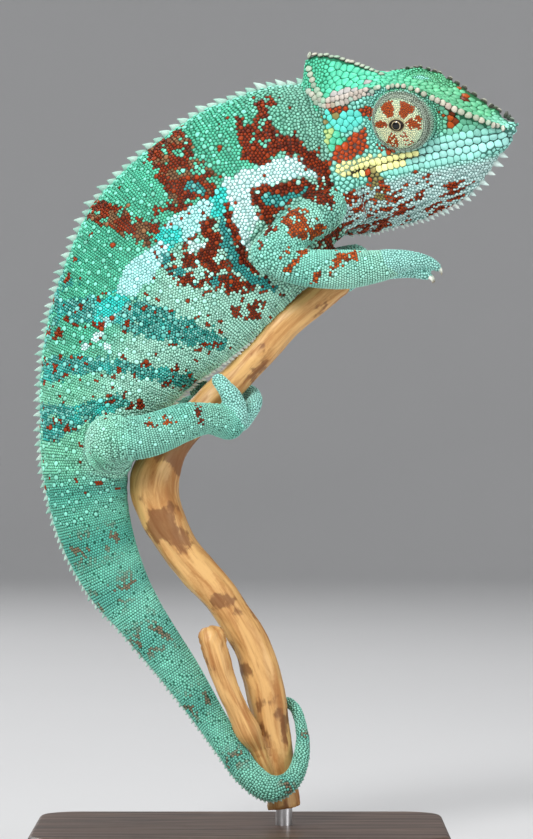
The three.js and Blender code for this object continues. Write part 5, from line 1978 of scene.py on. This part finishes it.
@dataclass
class Crests:
    """The rows of pointed scales on the back, under the chin and along the belly."""

    body: Body
    field: ScaleField
    coat: Coat
    finish: Material

    def spikes(self, name: str, roots: Array, out: Array, ahead: Array, width: Array, height: Array,
               lean: float, narrow: float, tint: Array) -> None:
        """One piece of spikes.

        Args:
            name: The piece's name.
            roots: Places near the skin.
            out: Where each spike points.
            ahead: The row's direction at each spike, towards which it leans.
            width: Half the length of each foot along the row.
            height: Each spike's height.
            lean: Share of the height by which a tip leans over.
            narrow: Share of the width that a foot has across the row.
            tint: Colours.
        """
        out = unit(out)
        lie = unit(ahead - out * (ahead * out).sum(1)[:, None])
        turn = math.tau * np.arange(SPOKES) / SPOKES
        oval = 1 / np.sqrt(np.cos(turn) ** 2 + (np.sin(turn) / narrow) ** 2)
        run = np.linspace(0.01, 0.99, len(roots))
        present(self.coat.grow(name, Kind.SPIKE, {
            "root": nearest(self.field.tree, roots), "out": out, "lie": lie, "reach": width[:, None] * oval,
            "crown": height, "lean": lie * lean, TINT: tint,
            "unwrap": np.column_stack([run, 0.5 + 0.3 * np.sin(40 * run)]),
        }, self.finish), "crest_scales")

    def build(self) -> None:
        """Builds the three rows."""
        rng = np.random.default_rng(SEED + 2)
        spine, keel, head = self.body.spine, self.body.form.trunk_keel, self.body.head
        pitch = ((1, 3, 6, 8, 11, 14, 20, 27), (2.9, 3.3, 3.0, 2.5, 2.1, 1.7, 1.3, 0.9))
        place = spine.edge((0.95, 26.5), 0.0, keel, pitch)
        at, count = spine.at(place), len(place)
        height = np.interp(place, (0.9, 2.5, 8, 11, 14, 20, 27), (2.3, 2.7, 2.3, 1.7, 1.3, 0.8, 0.45))
        height = height * rng.uniform(0.86, 1.1, count) * np.where(np.arange(count) % 2, 0.8, 1.08)
        top = spine.surface(place, np.zeros(count), keel)
        tint = mix(Hue.NECK.linear, Hue.BONE, rng.uniform(0.1, 0.5, count))
        wide = np.interp(place, *pitch) * 0.58
        self.spikes("crest_back", top, at["up"], at["ahead"], wide, height, 0.6, 0.55, tint)
        place = spine.edge((1.75, 11.2), math.pi, keel, ((1, 12), (1.4, 1.3)))
        at, count = spine.at(place), len(place)
        height = np.interp(place, (1.5, 3, 9, 11.2), (1.4, 1.7, 1.6, 1.0)) * rng.uniform(0.8, 1.15, count)
        low = spine.surface(place, np.full(count, math.pi), keel)
        wide, white = np.full(count, 0.72), np.tile(Hue.BONE.linear, (count, 1))
        self.spikes("crest_belly", low, -at["up"], -at["ahead"], wide, height, 0.35, 0.6, white)
        forward = [25.4, 23.3]
        while forward[-1] > -27:
            forward.append(forward[-1] - np.interp(forward[-1], (-27, 10, 24), (1.5, 1.7, 2.3)))
        forward, zero = np.array(forward), np.zeros(len(forward))
        under = np.interp(forward, head.forward, head.under)
        height = np.interp(forward, (-27, 0, 18, 23, 26), (1.1, 1.7, 2.3, 3.5, 3.5))
        height = height * rng.uniform(0.7, 1.12, len(under))
        down = unit(np.column_stack([np.gradient(under, forward) + 0.28, zero, zero - 1]))
        back = np.tile([-1.0, 0, 0], (len(under), 1))
        white = mix(Hue.BONE, Hue.GULAR, rng.uniform(0, 0.6, len(under)))
        chin = head.to_world(np.column_stack([forward, zero, under]))
        down, back = down @ head.axes.T, back @ head.axes.T
        self.spikes("crest_chin", chin, down, back, height * 0.3 + 0.3, height, -0.15, 0.85, white)


@dataclass
class EyePair:
    """The wet balls and the dark lids round them."""

    body: Body
    pupil: float = 1.18
    ring: float = 1.4
    lid: tuple = (2.15, 1.5)
    lid_bar: float = 0.24
    lid_steps: int = 64
    ball_steps: int = 48

    def ball(self, side: Side) -> Object:
        """One eyeball, its pupil where the eye looks."""
        eye, steps = self.body.eye, self.ball_steps
        dip = np.concatenate([np.linspace(0.04, 0.8, 26), np.linspace(0.9, 3.08, 16)])
        radius = eye.ball * np.sin(dip)
        height = eye.dome + eye.ball_out - eye.ball + eye.ball * np.cos(dip)
        rings = eye.place(side, radius[:, None], height[:, None], turns(steps)[None, :])
        made = loft(self.body.head.to_world(rings)).to_object(f"eyeball_{side.word}")
        gap = np.concatenate([np.repeat(radius, steps), [0, 3]])[:, None]
        front = np.concatenate([np.repeat(dip, steps) < 1.4, [True, False]])[:, None]
        black, gold, rest = linear("040404"), linear("c8b48e"), linear("1c130d")
        tone = np.where(gap < self.pupil, black, np.where(gap < self.ring, gold, rest))
        give(made.data, TINT, np.where(front, tone, rest))
        return made

    def lids(self, side: Side) -> Object:
        """The almond rim of skin that closes on the ball."""
        eye, turn, bar_turn = self.body.eye, turns(self.lid_steps), turns(12)[None, :, None]
        radius, height = eye.profile(np.linspace(0, 1, 200), 0.35)
        count, bars = 12 * self.lid_steps, []
        for bar, size in ((0.0, 1.0), (0.42, 0.85)):
            x = (self.lid[0] + bar) * np.cos(turn)
            z = (self.lid[1] + bar) * np.sign(np.sin(turn)) * np.abs(np.sin(turn)) ** 1.25
            out = np.interp(-np.hypot(x, z), -radius, height) + 0.12 - 0.16 * (bar > 0)
            middle = np.column_stack([eye.forward + x, side.value * (eye.side + out), eye.up + z])
            ahead = unit(np.roll(middle, -1, 0) - np.roll(middle, 1, 0))
            over = unit(np.cross(ahead, np.array([0, side.value, 0])))
            up = np.cross(over, ahead)
            rings = middle[:, None] + self.lid_bar * size * (
                np.cos(bar_turn) * over[:, None] + 0.9 * np.sin(bar_turn) * up[:, None]
            )
            closed = loft(np.concatenate([rings, rings[:1]]), pinch=False)
            bars.append(Shell(closed.points[:count], [[c % count for c in face] for face in closed.faces]))
        whole = join(bars)
        whole.points = self.body.head.to_world(whole.points)
        made = whole.to_object(f"lids_{side.word}")
        give(made.data, TINT, np.repeat([linear("2e261d"), linear("a59c74")], count, 0))
        return made

    def build(self, wet: Material, skin: Material) -> None:
        """Builds both eyes."""
        for side in Side:
            present(self.ball(side), "eye", wet, (f"eye_{side.word}",))
            present(self.lids(side), "turret_skin", skin)


@dataclass
class Claws:
    """The curved claw at the tip of each toe."""

    length: float = 1.75
    root: float = 0.58
    curl: float = 1.4
    rings: int = 9

    def claw(self, stations: list, down: Array) -> Shell:
        """One claw on the end of a toe."""
        tip, before = np.array(stations[-1][:3]), np.array(stations[-2][:3])
        ahead = unit(tip - before)
        down = unit(down - ahead * (down @ ahead))
        start = tip + ahead * stations[-1][3] * 0.35
        across, turn, rings = np.cross(ahead, down), turns(12)[:, None], []
        for share in np.linspace(0, 1, self.rings):
            middle = start + ahead * self.length * share + down * self.curl * share**2
            up = np.cross(across, unit(ahead * self.length + down * self.curl * 2 * share))
            girth = self.root * (1 - share) ** 0.75 + 0.04
            rings.append(middle + girth * (0.75 * np.cos(turn) * across + np.sin(turn) * up))
        return loft(np.array(rings))

    def build(self, horn: Material) -> None:
        """All the claws as one piece."""
        toes = [(rows, bundle.claw) for bundle in TOES.values() for rows in bundle.lines()]
        shells = [self.claw(rows, np.array(down, float)) for rows, down in toes]
        made = join(shells).to_object("claws")
        share = np.concatenate([np.repeat(np.linspace(0, 1, self.rings), 12), [0, 1]])
        tone = mix(linear("d9dfd2"), linear("7d6f5c"), ramp(0.45, 1.0, share))
        give(made.data, TINT, np.tile(tone, (len(shells), 1)))
        present(made, "claw", horn)


# ---- Perch and stand ------------------------------------------------------------------------------
@dataclass
class Perch:
    """The bare weathered branch and its side stub."""

    branch: tuple = (
        (29.6, 0.5, 172.2, 3.9), (26.6, 0.5, 171, 4.7), (21, 0.8, 166.6, 5), (14, 1.5, 160.6, 5),
        (5.4, 2, 151, 5), (-1.6, 1.4, 143.6, 5), (-9, 0.4, 136.6, 5.2), (-21.4, 0, 123, 6),
        (-25.6, 0.4, 113.4, 7.9), (-24.6, 1, 105.4, 7.5), (-17.6, 0.8, 92.4, 5.9), (-5.7, 0, 78, 5.7),
        (2.4, 0, 65.4, 5.8), (6.6, 0, 54.9, 6.1), (9.9, 0, 38, 5.6), (12.3, 0, 21.9, 5.1), (13.2, 0, 15, 5.2),
    )
    stub: tuple = (
        (-8.4, -10.4, 66.4, 4.3), (-5, -10.8, 55.4, 3.8), (-0.4, -10.2, 44.7, 3.3), (2.4, -9.4, 39, 3.9),
        (5.2, -6.8, 33.2, 2.7), (7.6, -4.6, 27.2, 2.2), (10.2, -1.6, 21.5, 2),
    )
    voxel: float = 0.85

    def build(self, wood: Material) -> None:
        """Makes the wood, with its grain's direction stored on it."""
        branch, stub = (SoftLine(rows, LIMB_UP) for rows in (self.branch, self.stub))
        shells = [tube_shell(branch, 1.0, 40, 1.2, 0.15, (True, False)), tube_shell(stub, 1.0, 32, 1.0, 0.1)]
        made = remesh(join(shells), "perch_wood", self.voxel)
        points, normals = mesh_points(made.data), mesh_normals(made.data)
        on_branch, on_stub = branch.locate(points), stub.locate(points)
        second = on_stub["ratio"] < on_branch["ratio"]
        run = np.where(second, on_stub["run"] + 300, on_branch["run"])
        turn = np.where(second, on_stub["turn"], on_branch["turn"])
        grain = np.column_stack([run, 6 * np.cos(turn), 6 * np.sin(turn)])
        broken = bump(np.linalg.norm(points - np.array(self.stub[0][:3]), axis=1), 5.5, 4)
        crumble = broken * (0.7 * noise(points, 1.3, 137) + 0.3 * noise(points, 0.7, 139))
        rise = 0.3 * noise(grain * (0.11, 0.7, 0.7), 1.0, 131) + 0.45 * noise(points, 7, 133)
        rise = rise + 0.12 * noise(grain * (0.3, 1.8, 1.8), 1.0, 135) - 0.2
        sawn = ramp(15.6, 16.6, points[:, 2])
        set_points(made.data, points + normals * ((rise * sawn) + crumble)[:, None])
        give(made.data, "grain", grain)
        present(made, "branch_wood", wood, ("perch_branch",))


@dataclass
class DisplayStand:
    """The flat board and the rod that hold the perch."""

    width: float = 124
    depth: float = 84
    height: float = 10
    corner: float = 12
    fillet: float = 1.6
    rod_x: float = 13.2
    rod_radius: float = 2.5
    rod_bevel: float = 0.3
    rod_ends: tuple = (4, 24)

    def outline(self, inset: float, level: float) -> Array:
        """The board's rounded outline, drawn in by inset, at a level."""
        corner = self.corner - inset
        x, y = self.width / 2 - self.corner, self.depth / 2 - self.corner
        ring = []
        for k, (cx, cy) in enumerate(((x, y), (-x, y), (-x, -y), (x, -y))):
            for turn in np.linspace(k, k + 1, 13) * math.pi / 2:
                ring.append((cx + corner * math.cos(turn), cy + corner * math.sin(turn), level))
        return np.array(ring)

    def board(self) -> Object:
        """The base board with a softened edge."""
        f = self.fillet
        rings = [self.outline(0.8, 0.0), self.outline(0.0, 0.8)]
        for t in np.linspace(0, math.pi / 2, 7):
            rings.append(self.outline(f * (1 - math.cos(t)), self.height - f * (1 - math.sin(t))))
        rings += [self.outline(self.corner * s, self.height) for s in (0.5, 0.98)]
        made = loft(np.array(rings)).to_object("stand_board")
        give(made.data, "grain", mesh_points(made.data))
        return made

    def rod(self) -> Object:
        """The round rod."""
        (low, high), bevel, turn = self.rod_ends, self.rod_bevel, turns(48)
        rings = []
        for inset, level in ((bevel, low), (0, low + bevel), (0, high - bevel), (bevel, high)):
            radius = self.rod_radius - inset
            ring = [self.rod_x + radius * np.cos(turn), radius * np.sin(turn), np.full(48, level)]
            rings.append(np.column_stack(ring))
        return loft(np.array(rings)).to_object("stand_pin")

    def build(self, wood: Material, steel: Material) -> None:
        """Builds board and rod."""
        board = present(self.board(), "stand_board", wood, ("stand_base",))
        board.data.set_sharp_from_angle(angle=math.radians(40))
        rod = present(self.rod(), "stand_steel", steel, ("stand_rod",))
        rod.data.set_sharp_from_angle(angle=math.radians(30))


# ---- Studio ---------------------------------------------------------------------------------------
@dataclass
class Studio:
    """The pale floor and backdrop, the soft lights and the camera."""

    camera_place: tuple = (7.95, -1200.0, 131.55)
    frame_height: float = 251.7
    sensor: float = 36.0
    floor_tone: float = 0.58
    aim: tuple = (0, 0, 0.13)
    lights: tuple = (
        ("key", (-0.75, -1.35, 1.15), 0.7, 29.0), ("fill", (1.35, -1.1, 0.45), 0.9, 9.0),
        ("top", (0.1, 0.2, 1.7), 0.9, 14.0), ("back", (-0.9, 1.3, 0.9), 0.8, 8.0),
    )

    def put(self, name: str, data: object, place: tuple, turn: tuple) -> Object:
        """Puts a lamp or the camera in its place."""
        made = bpy.data.objects.new(name, data)
        made.location, made.rotation_euler = place, turn
        bpy.context.scene.collection.objects.link(made)
        return made

    def build(self) -> None:
        """Sets up camera, lights, floor and backdrop."""
        scene = bpy.context.scene
        data = bpy.data.cameras.new("camera")
        data.sensor_width = self.sensor
        data.lens = self.sensor * -self.camera_place[1] / self.frame_height
        data.clip_start = 0.05
        place = [value * MM for value in self.camera_place]
        scene.camera = self.put("camera", data, place, (math.pi / 2, 0, 0))
        for name, place, size, power in self.lights:
            lamp = bpy.data.lights.new(name, "AREA")
            lamp.shape, lamp.size, lamp.energy = "DISK", size, power
            aim = Vector(self.aim) - Vector(place)
            self.put(name, lamp, place, aim.to_track_quat("-Z", "Y").to_euler())
        world = bpy.data.worlds.new("world")
        world.use_nodes = True
        sky = world.node_tree.nodes["Background"].inputs
        sky["Color"].default_value, sky["Strength"].default_value = (0.95, 0.98, 1.0, 1), 0.28
        scene.world = world
        scene.view_settings.view_transform = "Standard"
        self.backdrop()

    def backdrop(self) -> None:
        """The round floor that curves up into the backdrop on all sides."""
        rise, turn = np.linspace(0, math.pi / 2, 24), turns(96)
        radius = np.concatenate([[20, 900], 2100 + 900 * np.sin(rise), [3000]])[:, None]
        level = np.concatenate([[0, 0], 900 - 900 * np.cos(rise), [3600]])
        rings = [radius * np.cos(turn), radius * np.sin(turn), np.repeat(level[:, None], 96, 1)]
        shell = loft(np.stack(rings, -1), pinch=False)
        shell.faces = [face[::-1] for face in shell.faces] + [[0, *range(95, 0, -1)]]
        made = shell.to_object("floor")
        made.data.shade_smooth()
        made.data.materials.append(paper_material("pale_paper", self.floor_tone))


def main() -> None:
    """Builds the whole model and reports each piece."""
    logging.basicConfig(level=logging.INFO, format="%(message)s")
    Studio().build()
    tones, grain = scale_tone_group(), wood_group()
    finishes = {slot: finish.build(tones) for slot, finish in FINISHES.items()}
    body = Body()
    skin = Skin(body)
    others = ("eye_right", "eye_left", "perch_", "stand_")
    flesh = [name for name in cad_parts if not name.startswith(others)]
    present(skin.build(), "scaly_skin", finishes["bare"], flesh)
    scales = ScaleField(body, skin)
    scales.choose()
    coat = Coat()
    Hide(scales, coat, finishes).build()
    Crests(body, scales, coat, finishes["crest"]).build()
    coat.clear()
    LOG.info("coat done")
    EyePair(body).build(eye_material(), finishes["lid"])
    Claws().build(finishes["claw"])
    perch = WoodFinish("bare_branch", "e2b371", "b2773c", "744420", 0.45, (0.05, 0.3, 0.3))
    Perch().build(perch.build(grain))
    walnut = WoodFinish("dark_board", "5b4232", "33241b", "2a1d15", 0.3, (0.02, 0.25, 0.25), lacquer=0.25)
    DisplayStand().build(walnut.build(grain), steel_material())
    LOG.info("perch and stand done")


if __name__ == "__main__":
    main()
